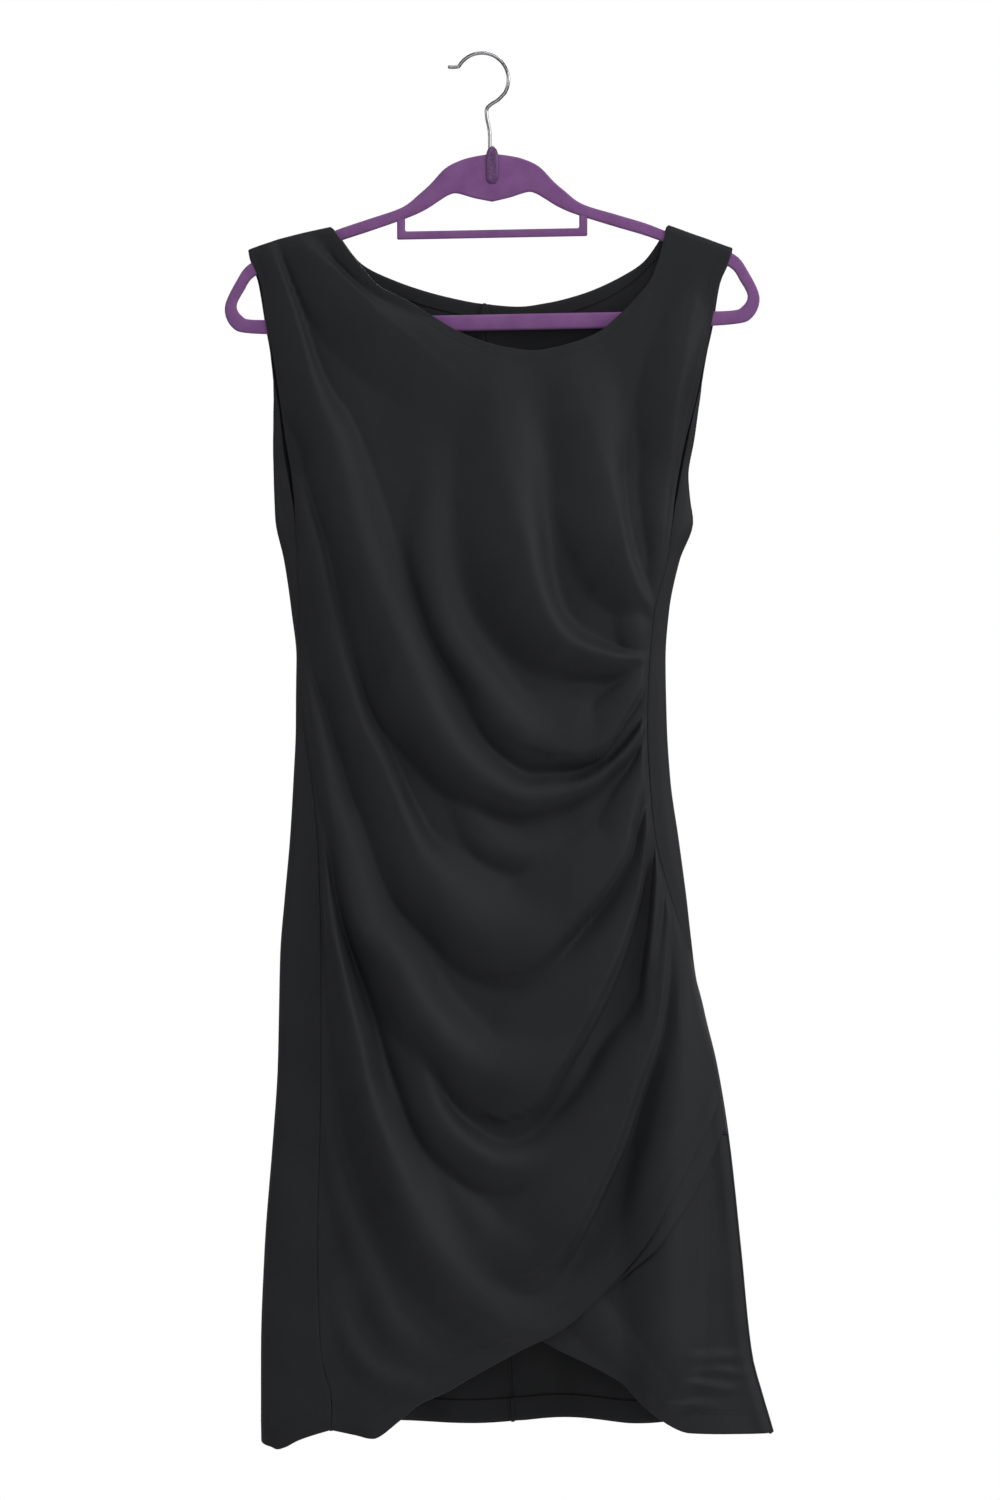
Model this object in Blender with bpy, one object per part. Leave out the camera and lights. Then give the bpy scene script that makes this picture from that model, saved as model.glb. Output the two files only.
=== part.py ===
"""Sleeveless draped cocktail dress on a flocked hanger.

The dress hangs flat: every level is a shallow tube whose extremes, seams and depth come from SECTIONS.
The origin is the inside of the hook's crown, where the rail lies. +Z is up and the dress faces -Y.
All sizes are in millimetres, and "drop" is the distance below the origin. Meshes are made in metres.
"""

import math
from collections import namedtuple

import bmesh
import bpy
import numpy as np

MM = 0.001
WALL = 1.5  # jersey, doubled by its facing
GAP = 0.3  # between two pieces that are sewn together
SIDE_SEAM_GAP = 0.9  # a curved seam needs a little more, because its two sides are faceted
TUBE_POWER = 2.4  # 2 is an ellipse; more is flatter with rounder sides
SHOULDER_ROLL = 6.0  # how far the cloth takes to turn over the hanger's arm
UNDERARM = (330, 392)  # drops between which the armhole closes into the side seam

# One row for each level. left and right are the tube's extremes, front_left and front_right the edges of the
# front panel, edge half the armhole's opening from front to back, and front and back the added depth.
Section = namedtuple("Section", "drop left right front_left front_right edge front back")
SECTIONS = [
    Section(*row)
    for row in (
        (138, -194, 208, -183, 208, 5.0, 0, 0),
        (163, -194, 208, -183, 207, 5.0, 1, 1),
        (190, -187, 198, -183, 197, 5.0, 5, 4),
        (226, -180, 190, -179, 189, 5.0, 10, 8),
        (249, -176, 186, -174, 180, 5.0, 13, 10),
        (287, -173, 181, -168, 173, 5.0, 17, 12),
        (320, -173, 176, -163, 166, 5.0, 20, 14),
        (350, -172, 171, -158, 163, 3.5, 23, 16),
        (370, -171, 172, -156, 160, 0.5, 26, 19),
        (387, -170, 174, -155, 158, 0, 28, 21),
        (419, -163, 163, -153, 154, 0, 29, 22),
        (461, -157, 154, -152, 143, 0, 28, 22),
        (502, -153, 151, -151, 139, 0, 28, 22),
        (554, -153, 152, -148, 137, 0, 29, 23),
        (602, -155, 155, -141, 139, 0, 31, 24),
        (652, -158, 162, -136, 144, 0, 33, 26),
        (697, -162, 168, -134, 156, 0, 35, 27),
        (747, -166, 174, -133, 173, 0, 37, 29),
        (793, -167, 184, -133, 184, 0, 38, 30),
        (839, -168, 195, -133, 195, 0, 39, 31),
        (900, -172, 205, -134, 205, 0, 40, 32),
        (992, -179, 215, -136, 215, 0, 41, 33),
        (1078, -182, 224, -133, 224, 0, 42, 34),
        (1116, -182, 234, -124, 234, 0, 42, 34),
        (1143, -182, 242, -125, 242, 0, 42, 34),
        (1160, -181, 246, -126, 246, 0, 42, 34),
    )
]

# Outlines seen from the front, each row of them an (x, drop).
LEFT_SHOULDER = [(-194, 161.5), (-183, 157.5), (-154, 149), (-125, 142.5)]
RIGHT_SHOULDER = [(154.5, 141), (178, 149.5), (208, 160)]
FRONT_SHOULDER_END = -183
BACK_SHOULDER_END = -194
FRONT_NECK = [
    (-125, 142.5), (-118, 153), (-100, 176), (-85, 193), (-64, 203.5), (-41, 217.5), (-24, 228), (-2, 237.5),
    (22, 244), (44, 246.5), (78, 239), (97, 231), (117, 214), (130, 200.5), (141, 186), (148, 167), (154.5, 141),
]
BACK_NECK = [
    (-125, 142.5), (-118, 151), (-100, 173.5), (-71, 188), (-33, 200), (0, 206.5), (30, 209), (54, 206),
    (85, 198), (116, 184), (134, 172), (148, 153), (154.5, 141),
]
CENTRE_BACK = [(2, 200), (26, 1145)]  # a straight seam
LEFT_WRAP = 0.22  # share of the left back's hem that comes round to the front
BACK_CROWDING = 1.2  # how much closer its columns stand near the side than at the middle
UNDERARM_TURN = (0.1, 0.8)  # how sharply, and from where, the back turns from its rear to its front layer
DRAPE_HEM = [
    (-125, 1139), (-105, 1143), (-90, 1146), (-68, 1131), (-51, 1117), (-31, 1108), (-7, 1094), (32, 1073),
    (66, 1056), (90, 1036), (117, 1008), (139, 979), (156, 949), (181, 905), (192, 882), (200, 864),
]
UNDER_HEM = [
    (-130, 868), (-100, 910), (-60, 965), (0, 1028), (61, 1071), (90, 1085), (116, 1100), (131, 1116),
    (149, 1131), (173, 1142), (205, 1143), (241, 1143),
]
BACK_HEM_LEFT_FLAP = [(-125, 1139), (-149, 1148), (-162, 1154), (-172, 1156), (-182, 1154)]
BACK_HEM = [
    (-182, 1154), (-150, 1149), (-86, 1144), (-42, 1136), (10, 1139), (46, 1134), (90, 1139), (126, 1137),
    (172, 1146), (241, 1143),
]
UNDER_TOP = 700  # where the hidden petal is caught into the side seams
UNDER_INSET = 5.4  # the petal lies this far inside the drape
UNDER_CLEAR = (905, 945)  # drops between which its right edge comes out to the silhouette
UNDER_EDGE = 14  # how wide that edge is
SLOPE_STEP = 0.4  # over which the form's slope is measured, to find a point square behind it
FACING_INSET = 2.6
FACING_WALL = 1.2
FACING_RISE = 26  # how far the facing reaches up behind the hem
FACING_SHOWS = [(60, -6), (117, 0), (145, 12), (163, 21), (181, 26), (200, 30)]  # x, how far below the hem

# Folds of the front, each along a crest from its upper end to its lower or right end. heights, inner and
# outer are at the start, middle and end: how far the crest stands out, and how far it takes to fall away
# above or right of the crest (inner) and below or left of it (outer).
Fold = namedtuple("Fold", "name crest heights inner outer")
FOLDS = [
    Fold("main_swag", [(-172, 160), (-150, 225), (-129, 324), (-95, 413), (-59, 499), (-24, 558), (16, 602),
                       (60, 609), (114, 577), (136, 553)], (4, 9, 4), (8, 34, 12), (22, 30, 8)),
    Fold("neck_pleat", [(-146, 152), (-125, 174), (-100, 199), (-69, 220)], (3, 4, 0), (8, 18, 20), (14, 18, 20)),
    Fold("upper_loop", [(-48, 344), (-42, 416), (-28, 460), (16, 531), (60, 572), (100, 577), (127, 538),
                        (139, 510)], (0, 8, 5), (26, 40, 14), (24, 26, 4)),
    Fold("bust_pleat", [(20, 324), (43, 391), (61, 446), (74, 486), (105, 491), (139, 501)],
         (0, 9, 4), (24, 26, 10), (30, 30, 6)),
    Fold("underarm_pleat", [(87, 296), (98, 303), (115, 351), (128, 413), (134, 443), (143, 463)],
         (0, 7, 3), (20, 16, 5), (24, 24, 5)),
    Fold("waist_swag", [(-148, 368), (-129, 448), (-111, 495), (-80, 580), (-46, 665), (4, 723), (38, 730),
                        (70, 722), (105, 690), (131, 640), (139, 562)], (2, 9, 5), (24, 40, 30), (22, 24, 4)),
    Fold("small_swag", [(-13, 625), (4, 647), (27, 662), (61, 665), (90, 650)], (0, 4, 0), (12, 16, 12),
         (12, 18, 12)),
    Fold("hip_swag", [(-140, 510), (-125, 580), (-102, 667), (-61, 762), (-9, 823), (44, 839), (97, 799),
                      (131, 701), (141, 602)], (2, 9, 4), (22, 36, 26), (22, 26, 4)),
    Fold("thigh_swag", [(-67, 815), (-43, 860), (-19, 892), (28, 922), (71, 884), (108, 800), (136, 720),
                        (143, 655)], (0, 6, 4), (20, 24, 14), (16, 26, 4)),
    Fold("low_swag", [(-51, 918), (-19, 953), (12, 977), (39, 987), (86, 953), (126, 862), (148, 780),
                      (155, 702)], (0, 7, 5), (20, 26, 14), (18, 30, 4)),
    Fold("long_swag", [(-139, 607), (-133, 663), (-115, 755), (-83, 871), (-41, 974), (12, 1035), (39, 1053),
                       (75, 1040)], (2, 9, 3), (16, 26, 22), (18, 22, 12)),
    Fold("hem_swag", [(-128, 828), (-107, 945), (-70, 1041), (-19, 1080), (20, 1072)], (0, 6, 2), (12, 22, 16),
         (12, 22, 14)),
    Fold("hem_ripple", [(-124, 1017), (-100, 1073), (-56, 1107), (-6, 1093)], (0, 4, 1), (12, 16, 12),
         (12, 18, 12)),
    Fold("armhole_roll", [(175, 230), (168, 287), (163, 354), (157, 420), (151, 440)], (2, 4, 2), (8, 8, 6),
         (14, 12, 8)),
    Fold("side_ridge", [(-166, 320), (-160, 395), (-150, 470)], (0, 3, 0), (9, 10, 9), (9, 10, 9)),
    Fold("hip_panel", [(160, 730), (184, 800), (196, 860)], (0, 4, 3), (30, 34, 30), (26, 30, 26)),
]
SEAM_FADE = 7  # folds are stitched flat over this distance at a side seam
SHOULDER_FADE = 14  # and over this distance at a shoulder seam
FINEST_FOLD = 14  # the narrowest fall that the solids' faces can carry
ALONG_PASSES = 2  # how often fold heights are shared out along a row of the mesh
FOLD_RISE = 1.3  # makes up for the height that sharing out takes from the crests

DRAPE_COLUMNS = 38
UNDER_COLUMNS = 18
UNDER_ROWS = 18
BACK_COLUMNS = 12
FACING_COLUMNS = 16
TOP_ROWS = [0, 0.0012, 0.0035, 0.008]  # shares of the height, close together where cloth turns over
TOP_SHARE = 0.018  # where the other rows start
# Rows of the front's mesh follow its swags: the drop of some rows at its left edge, lowest point and right edge.
Row = namedtuple("Row", "number left middle right")
ROWS = [
    Row(*row)
    for row in (
        (0, 160, 246, 160),
        (11, 238, 480, 420),
        (15, 268, 572, 500),
        (18, 302, 607, 550),
        (23, 395, 731, 585),
        (28, 500, 839, 620),
        (32, 580, 922, 660),
        (36, 680, 987, 705),
        (40, 810, 1040, 760),
        (45, 1139, 1071, 864),
    )
]
SWAG_LOW = 0.62  # where the swags are lowest, as a share across
BACK_EXTRA_ROWS = 6  # rows of the right back below the drape's end

HANGER_THICKNESS = 5.0
HANGER_TILT = 1.1  # degrees; its right side is the higher
HANGER_CENTRE = 8.5
HANGER_EDGE = 1.5
HANGER_STEPS = 2  # points for each row of its outline
# Right half of the hanger's outline, as (distance from its middle, drop), before it is tilted.
HANGER_OUTER = [
    (0, 82), (14, 84), (26, 87), (39, 93.5), (51, 106), (60, 114), (75, 125.3), (103, 134.5), (128, 142.5),
    (138, 147), (150, 151.5), (201, 169.5), (212, 184), (222, 205.5), (216, 222), (200, 227.5), (100, 229), (0, 229),
]
HANGER_INNER = [
    (0, 122), (15, 118.7), (31, 114.3), (40, 118.3), (55, 127.4), (78, 137), (132, 154), (197.5, 180), (212, 204),
    (203, 216), (188, 216), (100, 215.5), (0, 215.5),
]
BAR_OUTER = (79, 152)  # trouser bar: half width and drop of its outer corner
BAR_SIZE = 6.8
BAR_TOP = 132  # its uprights end inside the arms
SOCKET_DROPS = (78, 106)
SOCKET_RADIUS = 5.5

WIRE = 3.0
HOOK_RADIUS = 22.0
HOOK_SPAN = (151, -31)  # degrees, from the open end over the crown to the neck
HOOK_TIP = 9.0
HOOK_KINK = (3.9, 43)
HOOK_STEPS = 18


def linear(value):
    return value / 12.92 if value <= 0.04045 else ((value + 0.055) / 1.055) ** 2.4


def material(name, rgb, roughness, metallic=0.0):
    made = bpy.data.materials.new(name)
    made.use_nodes = True
    shader = made.node_tree.nodes["Principled BSDF"]
    colour = tuple(linear(channel / 255) for channel in rgb) + (1.0,)
    shader.inputs["Base Color"].default_value = colour
    shader.inputs["Roughness"].default_value = roughness
    shader.inputs["Metallic"].default_value = metallic
    made.diffuse_color = colour
    return made


def smooth_step(low, high, value):
    share = np.clip((np.asarray(value, float) - low) / (high - low), 0, 1)
    return share * share * (3 - 2 * share)


def curve(knots, values, at):
    """A smooth curve through the rows of a table, with the slopes of its neighbours, flat at turning points."""
    knots = np.asarray(knots, float)
    values = np.asarray(values, float)
    run = np.diff(knots)
    rise = np.diff(values) / run
    inner = np.where(rise[:-1] * rise[1:] > 0, 2 * rise[:-1] * rise[1:] / (rise[:-1] + rise[1:] + 1e-12), 0)
    slope = np.concatenate([[rise[0]], inner, [rise[-1]]])
    at = np.clip(np.asarray(at, float), knots[0], knots[-1])
    i = np.clip(np.searchsorted(knots, at, side="right") - 1, 0, len(run) - 1)
    t = (at - knots[i]) / run[i]
    start = values[i] * (1 + 2 * t) + slope[i] * run[i] * t
    end = values[i + 1] * (3 - 2 * t) + slope[i + 1] * run[i] * (t - 1)
    return start * (1 - t) ** 2 + end * t ** 2


def section(column, drop):
    rows = [getattr(row, column) for row in SECTIONS]
    return curve([row.drop for row in SECTIONS], rows, drop)


def through(points, steps=12):
    """Points of a smooth line through a few given points."""
    knots = np.arange(len(points))
    at = np.linspace(0, len(points) - 1, steps * (len(points) - 1) + 1)
    ends = np.asarray(points, float)
    return np.column_stack([curve(knots, ends[:, 0], at), curve(knots, ends[:, 1], at)])


def along(line, share):
    """The points at the given shares of a line's length."""
    steps = np.hypot(*np.diff(line, axis=0).T)
    length = np.concatenate([[0], np.cumsum(steps)])
    at = np.asarray(share) * length[-1]
    return np.column_stack([np.interp(at, length, line[:, 0]), np.interp(at, length, line[:, 1])])


def shoulder_drop(x):
    """The shoulder seams' line over the hanger's arms, carried on straight to the neck's middle."""
    lines = []
    for rows, neck in ((LEFT_SHOULDER, LEFT_SHOULDER[-1]), (RIGHT_SHOULDER, RIGHT_SHOULDER[0])):
        end = rows[0] if neck is rows[-1] else rows[-1]
        slope = (end[1] - neck[1]) / (end[0] - neck[0])
        on_seam = curve([across for across, _ in rows], [drop for _, drop in rows], x)
        lines.append(np.where((x - neck[0]) * (end[0] - neck[0]) > 0, on_seam, neck[1] + slope * (x - neck[0])))
    return np.maximum(*lines)


def shoulder(start, end):
    """The outline of a shoulder seam between two distances across."""
    x = np.linspace(start, end, 30)
    return np.column_stack([x, shoulder_drop(x)])


def roll(x, drop):
    """0 on the shoulder line and 1 once the cloth has turned over the arm."""
    below = np.clip((drop - shoulder_drop(x)) / SHOULDER_ROLL, 0, 1)
    return np.sqrt(1 - (1 - below) ** 2)


def bulge(x, drop):
    """The tube's depth at x, as a share of its depth in the middle."""
    left = section("left", drop)
    right = section("right", drop)
    from_middle = np.clip(np.abs((2 * x - left - right) / (right - left)), 0, 1)
    return (1 - from_middle ** TUBE_POWER) ** (1 / TUBE_POWER)


def fold_height(fold, x, drop):
    """How far one fold lifts the cloth at each point."""
    line = through(fold.crest, 8)
    nearest = np.full(x.shape, np.inf)
    side = np.zeros(x.shape)
    place = np.zeros(x.shape)
    last = len(line) - 1
    for step in range(last):
        start = line[step]
        run = line[step + 1] - start
        share = np.clip(((x - start[0]) * run[0] + (drop - start[1]) * run[1]) / (run @ run), 0, 1)
        across = np.hypot(x - start[0] - share * run[0], drop - start[1] - share * run[1])
        turn = run[0] * (drop - start[1]) - run[1] * (x - start[0])
        closer = across < nearest
        nearest = np.where(closer, across, nearest)
        side = np.where(closer, turn, side)
        place = np.where(closer, (step + share) / last, place)
    thirds = [0, 0.5, 1]
    height = curve(thirds, fold.heights, place)
    inner = np.maximum(curve(thirds, fold.inner, place), FINEST_FOLD)
    outer = np.maximum(curve(thirds, fold.outer, place), FINEST_FOLD)
    reach = np.where(side < 0, inner, outer)
    fall = np.clip(nearest / reach, 0, 1)
    return height * 0.5 * (1 + np.cos(math.pi * fall))


def front_folds(x, drop):
    """All folds of the front together. Where two overlap the higher one shows, softly joined to the other."""
    total = np.zeros(x.shape)
    for fold in FOLDS:
        total += fold_height(fold, x, drop) ** 2
    total = np.sqrt(total)
    from_left = (x - section("front_left", drop)) / SEAM_FADE
    from_right = (section("front_right", drop) - x) / SEAM_FADE
    from_top = (drop - shoulder_drop(x)) / SHOULDER_FADE
    total = total * smooth_step(0, 1, from_left) * smooth_step(0, 1, from_right)
    return FOLD_RISE * total * smooth_step(0, 1, from_top)


def softened(heights):
    """Fold heights with each vertex's own and its neighbours' shared out, mostly along the rows."""
    for axis in [1] * ALONG_PASSES + [0]:
        grid = np.moveaxis(np.pad(heights, 1, mode="edge"), axis, 0)
        shared = (grid[:-2] + 2 * grid[1:-1] + grid[2:]) / 4
        heights = np.moveaxis(shared[:, 1:-1], 0, axis)
    return heights


def front_y(x, drop):
    depth = section("edge", drop) + section("front", drop) * bulge(x, drop)
    return -depth * roll(x, drop)


def inside(x, drop, inset):
    """The point that lies inset behind the front's smooth form, square to it."""
    step = SLOPE_STEP
    inner_x = np.minimum(x, section("right", drop) - step)
    slope_x = (front_y(inner_x, drop) - front_y(inner_x - step, drop)) / step
    slope_drop = (front_y(x, drop + step) - front_y(x, drop - step)) / (2 * step)
    size = np.sqrt(slope_x ** 2 + 1 + slope_drop ** 2)
    return x - inset * slope_x / size, front_y(x, drop) + inset / size, drop - inset * slope_drop / size


def row_numbers():
    """Numbers of the rows: below 0 for those on the shoulder."""
    return np.arange(-len(TOP_ROWS), ROWS[-1].number + 1)


def share_down(row, column):
    """How far down a row lies, as a share of the height, at the left edge, the middle or the right edge."""
    drops = np.array([getattr(plan, column) for plan in ROWS], float)
    shares = (drops - drops[0]) / (drops[-1] - drops[0])
    lower = TOP_SHARE + (1 - TOP_SHARE) * curve([plan.number for plan in ROWS], shares, row)
    upper = np.interp(row, np.arange(-len(TOP_ROWS), 0), TOP_ROWS)
    return np.where(row < 0, upper, lower)


def swag_share(u, row):
    """The same at any share across: rows hang from both edges to SWAG_LOW."""
    left = share_down(row, "left")
    middle = share_down(row, "middle")
    right = share_down(row, "right")
    on_left = middle + (left - middle) * np.clip((SWAG_LOW - u) / SWAG_LOW, 0, 1) ** 2
    return on_left + (right - middle) * np.clip((u - SWAG_LOW) / (1 - SWAG_LOW), 0, 1) ** 4


def sheet(name, across, down, place, finish, outward=1, thickness=WALL):
    """A wall of cloth. place gives x, y, z in millimetres for shares across (left to right) and down."""
    u, v = np.meshgrid(across, np.asarray(down, float))
    points = np.stack(place(u, v), axis=-1) * MM
    mesh = bpy.data.meshes.new(name)
    made = bmesh.new()
    columns = len(across) - 1
    rows = len(down) - 1
    bmesh.ops.create_grid(made, x_segments=columns, y_segments=rows, size=1)
    for vert in made.verts:
        column = round((vert.co.x + 1) / 2 * columns)
        row = round((1 - vert.co.y) / 2 * rows)
        vert.co = points[row, column]
    if outward < 0:
        bmesh.ops.reverse_faces(made, faces=made.faces)
    for face in made.faces:
        face.smooth = True
    made.to_mesh(mesh)
    made.free()
    mesh.materials.append(finish)
    item = bpy.data.objects.new(name, mesh)
    bpy.context.scene.collection.objects.link(item)
    wall = item.modifiers.new("Wall", "SOLIDIFY")
    wall.thickness = thickness * MM
    wall.offset = -1
    facets = item.modifiers.new("Facets", "TRIANGULATE")
    facets.quad_method = "SHORTEST_DIAGONAL"
    return item


def between(top, bottom, u, v, left, right):
    """Points of a panel between two outlines, its sides following the columns left and right of SECTIONS."""
    start = along(top, u[0])
    end = along(bottom, u[0])
    drop = start[:, 1] + v * (end[:, 1] - start[:, 1])
    shares = []
    for outline in (start, end):
        low = left(outline[:, 1])
        share = (outline[:, 0] - low) / (right(outline[:, 1]) - low)
        shares.append((share - share[0]) / (share[-1] - share[0]))
    share_at_top, share_at_bottom = shares
    share = share_at_top + (share_at_bottom - share_at_top) * smooth_step(0, 0.6, v)
    x = left(drop) + share * (right(drop) - left(drop))
    return x, drop


def front_left(drop):
    return section("front_left", drop)


def front_right(drop):
    return section("front_right", drop)


def build_drape(finish):
    neck = through(FRONT_NECK)
    top = np.vstack([shoulder(FRONT_SHOULDER_END, neck[0][0]), neck, shoulder(neck[-1][0], RIGHT_SHOULDER[-1][0])])
    hem = through(DRAPE_HEM)

    def place(u, row):
        x, drop = between(top, hem, u, swag_share(u, row), front_left, front_right)
        y = front_y(x, drop) - softened(front_folds(x, drop)) * roll(x, drop)
        return x, y - GAP / 2, -drop

    return sheet("front_drape", np.linspace(0, 1, DRAPE_COLUMNS + 1), row_numbers(), place, finish)


def build_facing(finish):
    """The drape's turned-in facing, which rolls out below its hem on the right."""
    xs = [x for x, _ in FACING_SHOWS]
    hem = through(DRAPE_HEM)
    hem_at = hem[np.argsort(hem[:, 0])]

    def place(u, v):
        x = xs[0] + u * (xs[-1] - xs[0])
        hem_drop = np.interp(x, hem_at[:, 0], hem_at[:, 1])
        shows = curve(xs, [shows for _, shows in FACING_SHOWS], x)
        drop = hem_drop - FACING_RISE + v * (FACING_RISE + shows)
        x = np.minimum(x, section("front_right", drop))
        x, y, drop = inside(x, drop, FACING_INSET)
        return x, y - GAP / 2, -drop

    across = np.linspace(0, 1, FACING_COLUMNS + 1) ** 0.8
    return sheet("drape_facing", across, np.linspace(0, 1, 4), place, finish, thickness=FACING_WALL)


def build_underskirt(finish):
    hem = through(UNDER_HEM)
    top = np.array([(section("front_left", UNDER_TOP), UNDER_TOP), (section("front_right", UNDER_TOP), UNDER_TOP)])

    def place(u, v):
        x, drop = between(top, hem, u, v, front_left, front_right)
        from_edge = (section("front_right", drop) - x) / UNDER_EDGE
        clear = smooth_step(*UNDER_CLEAR, drop) * (1 - smooth_step(0, 1, from_edge))
        x, y, drop = inside(x, drop, UNDER_INSET * (1 - clear))
        return x, y - GAP / 2, -drop

    return sheet(
        "front_underskirt", np.linspace(0, 1, UNDER_COLUMNS + 1), np.linspace(0, 1, UNDER_ROWS + 1), place, finish
    )


def seam_angle(edge, drop):
    """The angle round the tube, from its nearer extreme, at which a front seam lies."""
    left = section("left", drop)
    right = section("right", drop)
    from_middle = np.clip(np.abs((2 * edge - left - right) / (right - left)), 0, 1)
    return np.arccos(from_middle ** (TUBE_POWER / 2))


def back_hem(left, across):
    """The hem's drop at each column: along the front flap first, where there is one, and then along the back."""
    wrap = LEFT_WRAP if left else 0.0
    back = through(BACK_HEM)
    side_x = back[0][0] if left else back[-1][0]
    middle_x = CENTRE_BACK[-1][0]
    past_wrap = np.clip((across - wrap) / (1 - wrap), 0, 1) ** BACK_CROWDING
    on_back = np.interp(side_x + (middle_x - side_x) * past_wrap, back[:, 0], back[:, 1])
    if not left:
        return on_back
    flap = through(BACK_HEM_LEFT_FLAP)[::-1]
    flap_x = side_x + (flap[-1][0] - side_x) * np.clip((wrap - across) / wrap, 0, 1)
    return np.where(across < wrap, np.interp(flap_x, flap[:, 0], flap[:, 1]), on_back)


def build_back(side, finish):
    """One half of the back, from the front side seam round the tube's extreme to the centre-back seam."""
    left = side == "left"
    sign = -1 if left else 1
    neck = through(BACK_NECK)
    middle = np.argmin(np.abs(neck[:, 0] - CENTRE_BACK[0][0]))
    if left:
        top = np.vstack([shoulder(BACK_SHOULDER_END, neck[0][0]), neck[: middle + 1]])
    else:
        top = np.vstack([neck[middle:], shoulder(neck[-1][0], RIGHT_SHOULDER[-1][0])])[::-1]
    across = np.linspace(0, 1, BACK_COLUMNS + 1)
    start_x, start = along(top, across).T
    end = back_hem(left, across)
    down = share_down(row_numbers(), side)
    if not left:
        top_drop = RIGHT_SHOULDER[-1][1]
        drape_end = (DRAPE_HEM[-1][1] - top_drop) / (BACK_HEM[-1][1] - top_drop)
        down = np.concatenate([down * drape_end, np.linspace(drape_end, 1, BACK_EXTRA_ROWS + 1)[1:]])

    def place(u, v):
        drop = start + v * (end - start)
        seam = section("front_left" if left else "front_right", drop) + sign * SIDE_SEAM_GAP
        wrap = -seam_angle(seam, drop) * smooth_step(*UNDERARM, drop)
        # at the top the columns stand where the neck's outline puts them
        share_at_top = seam_angle(start_x, start) / (math.pi / 2)
        share = share_at_top + (u - share_at_top) * smooth_step(0, 0.5, v)
        angle = wrap + share * (math.pi / 2 - wrap)
        low = section("left", drop)
        high = section("right", drop)
        x = (low + high) / 2 + sign * (high - low) / 2 * np.abs(np.cos(angle)) ** (2 / TUBE_POWER)
        turned = np.abs(np.sin(angle)) ** (2 / TUBE_POWER)
        depth = np.where(angle > 0, section("back", drop), -section("front", drop)) * turned
        sharpness, from_angle = UNDERARM_TURN
        depth = depth + section("edge", drop) * np.tanh(angle / sharpness + from_angle)
        y = depth * roll(x, drop)
        (top_x, top_drop), (low_x, low_drop) = CENTRE_BACK
        seam_x = top_x + (drop - top_drop) * (low_x - top_x) / (low_drop - top_drop)
        x = np.where(u == 1, seam_x + sign * GAP / 2, x)
        y = np.where(angle >= 0, np.maximum(y, 0) + GAP / 2, y)
        return x, y, -drop

    return sheet(f"back_{side}", across, down, place, finish, outward=1 if left else -1)


def tilted(x, drop):
    """A point of the hanger, turned by its tilt about its middle and moved to its place."""
    turn = math.radians(HANGER_TILT)
    across = HANGER_CENTRE + x * math.cos(turn)
    return across, -drop + x * math.sin(turn)


def whole(half):
    """A closed outline from its right half, both ends of which lie on the middle."""
    right = through(half, HANGER_STEPS)
    left = right[::-1][1:-1] * (-1, 1)
    return np.vstack([right, left])


def slab(name, loops, thickness):
    """A flat closed piece between an outer and an inner outline."""
    made = bmesh.new()
    for loop in loops:
        corners = [made.verts.new((x * MM, -thickness / 2 * MM, z * MM)) for x, z in loop]
        for i, corner in enumerate(corners):
            made.edges.new((corner, corners[i - 1]))
    bmesh.ops.triangle_fill(made, use_beauty=True, edges=made.edges[:], normal=(0, -1, 0))
    grown = bmesh.ops.extrude_face_region(made, geom=made.faces[:])
    raised = [item for item in grown["geom"] if isinstance(item, bmesh.types.BMVert)]
    bmesh.ops.translate(made, verts=raised, vec=(0, thickness * MM, 0))
    bmesh.ops.recalc_face_normals(made, faces=made.faces)
    mesh = bpy.data.meshes.new(name)
    made.to_mesh(mesh)
    made.free()
    item = bpy.data.objects.new(name, mesh)
    bpy.context.scene.collection.objects.link(item)
    return item


def guide(name, sizes, centre, kind="box"):
    """A helper solid that a Boolean joins to the hanger."""
    made = bmesh.new()
    if kind == "box":
        bmesh.ops.create_cube(made, size=1)
    else:
        bmesh.ops.create_icosphere(made, subdivisions=2, radius=0.5)
    x, z = centre
    for vert in made.verts:
        vert.co.x = (vert.co.x * sizes[0] + x) * MM
        vert.co.y = vert.co.y * sizes[1] * MM
        vert.co.z = (vert.co.z * sizes[2] + z) * MM
    mesh = bpy.data.meshes.new(name)
    made.to_mesh(mesh)
    made.free()
    item = bpy.data.objects.new(name, mesh)
    item.hide_render = True
    item.display_type = "WIRE"
    bpy.context.scene.collection.objects.link(item)
    return item


def join(body, helper):
    union = body.modifiers.new(helper.name, "BOOLEAN")
    union.operation = "UNION"
    union.solver = "EXACT"
    union.object = helper


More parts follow.
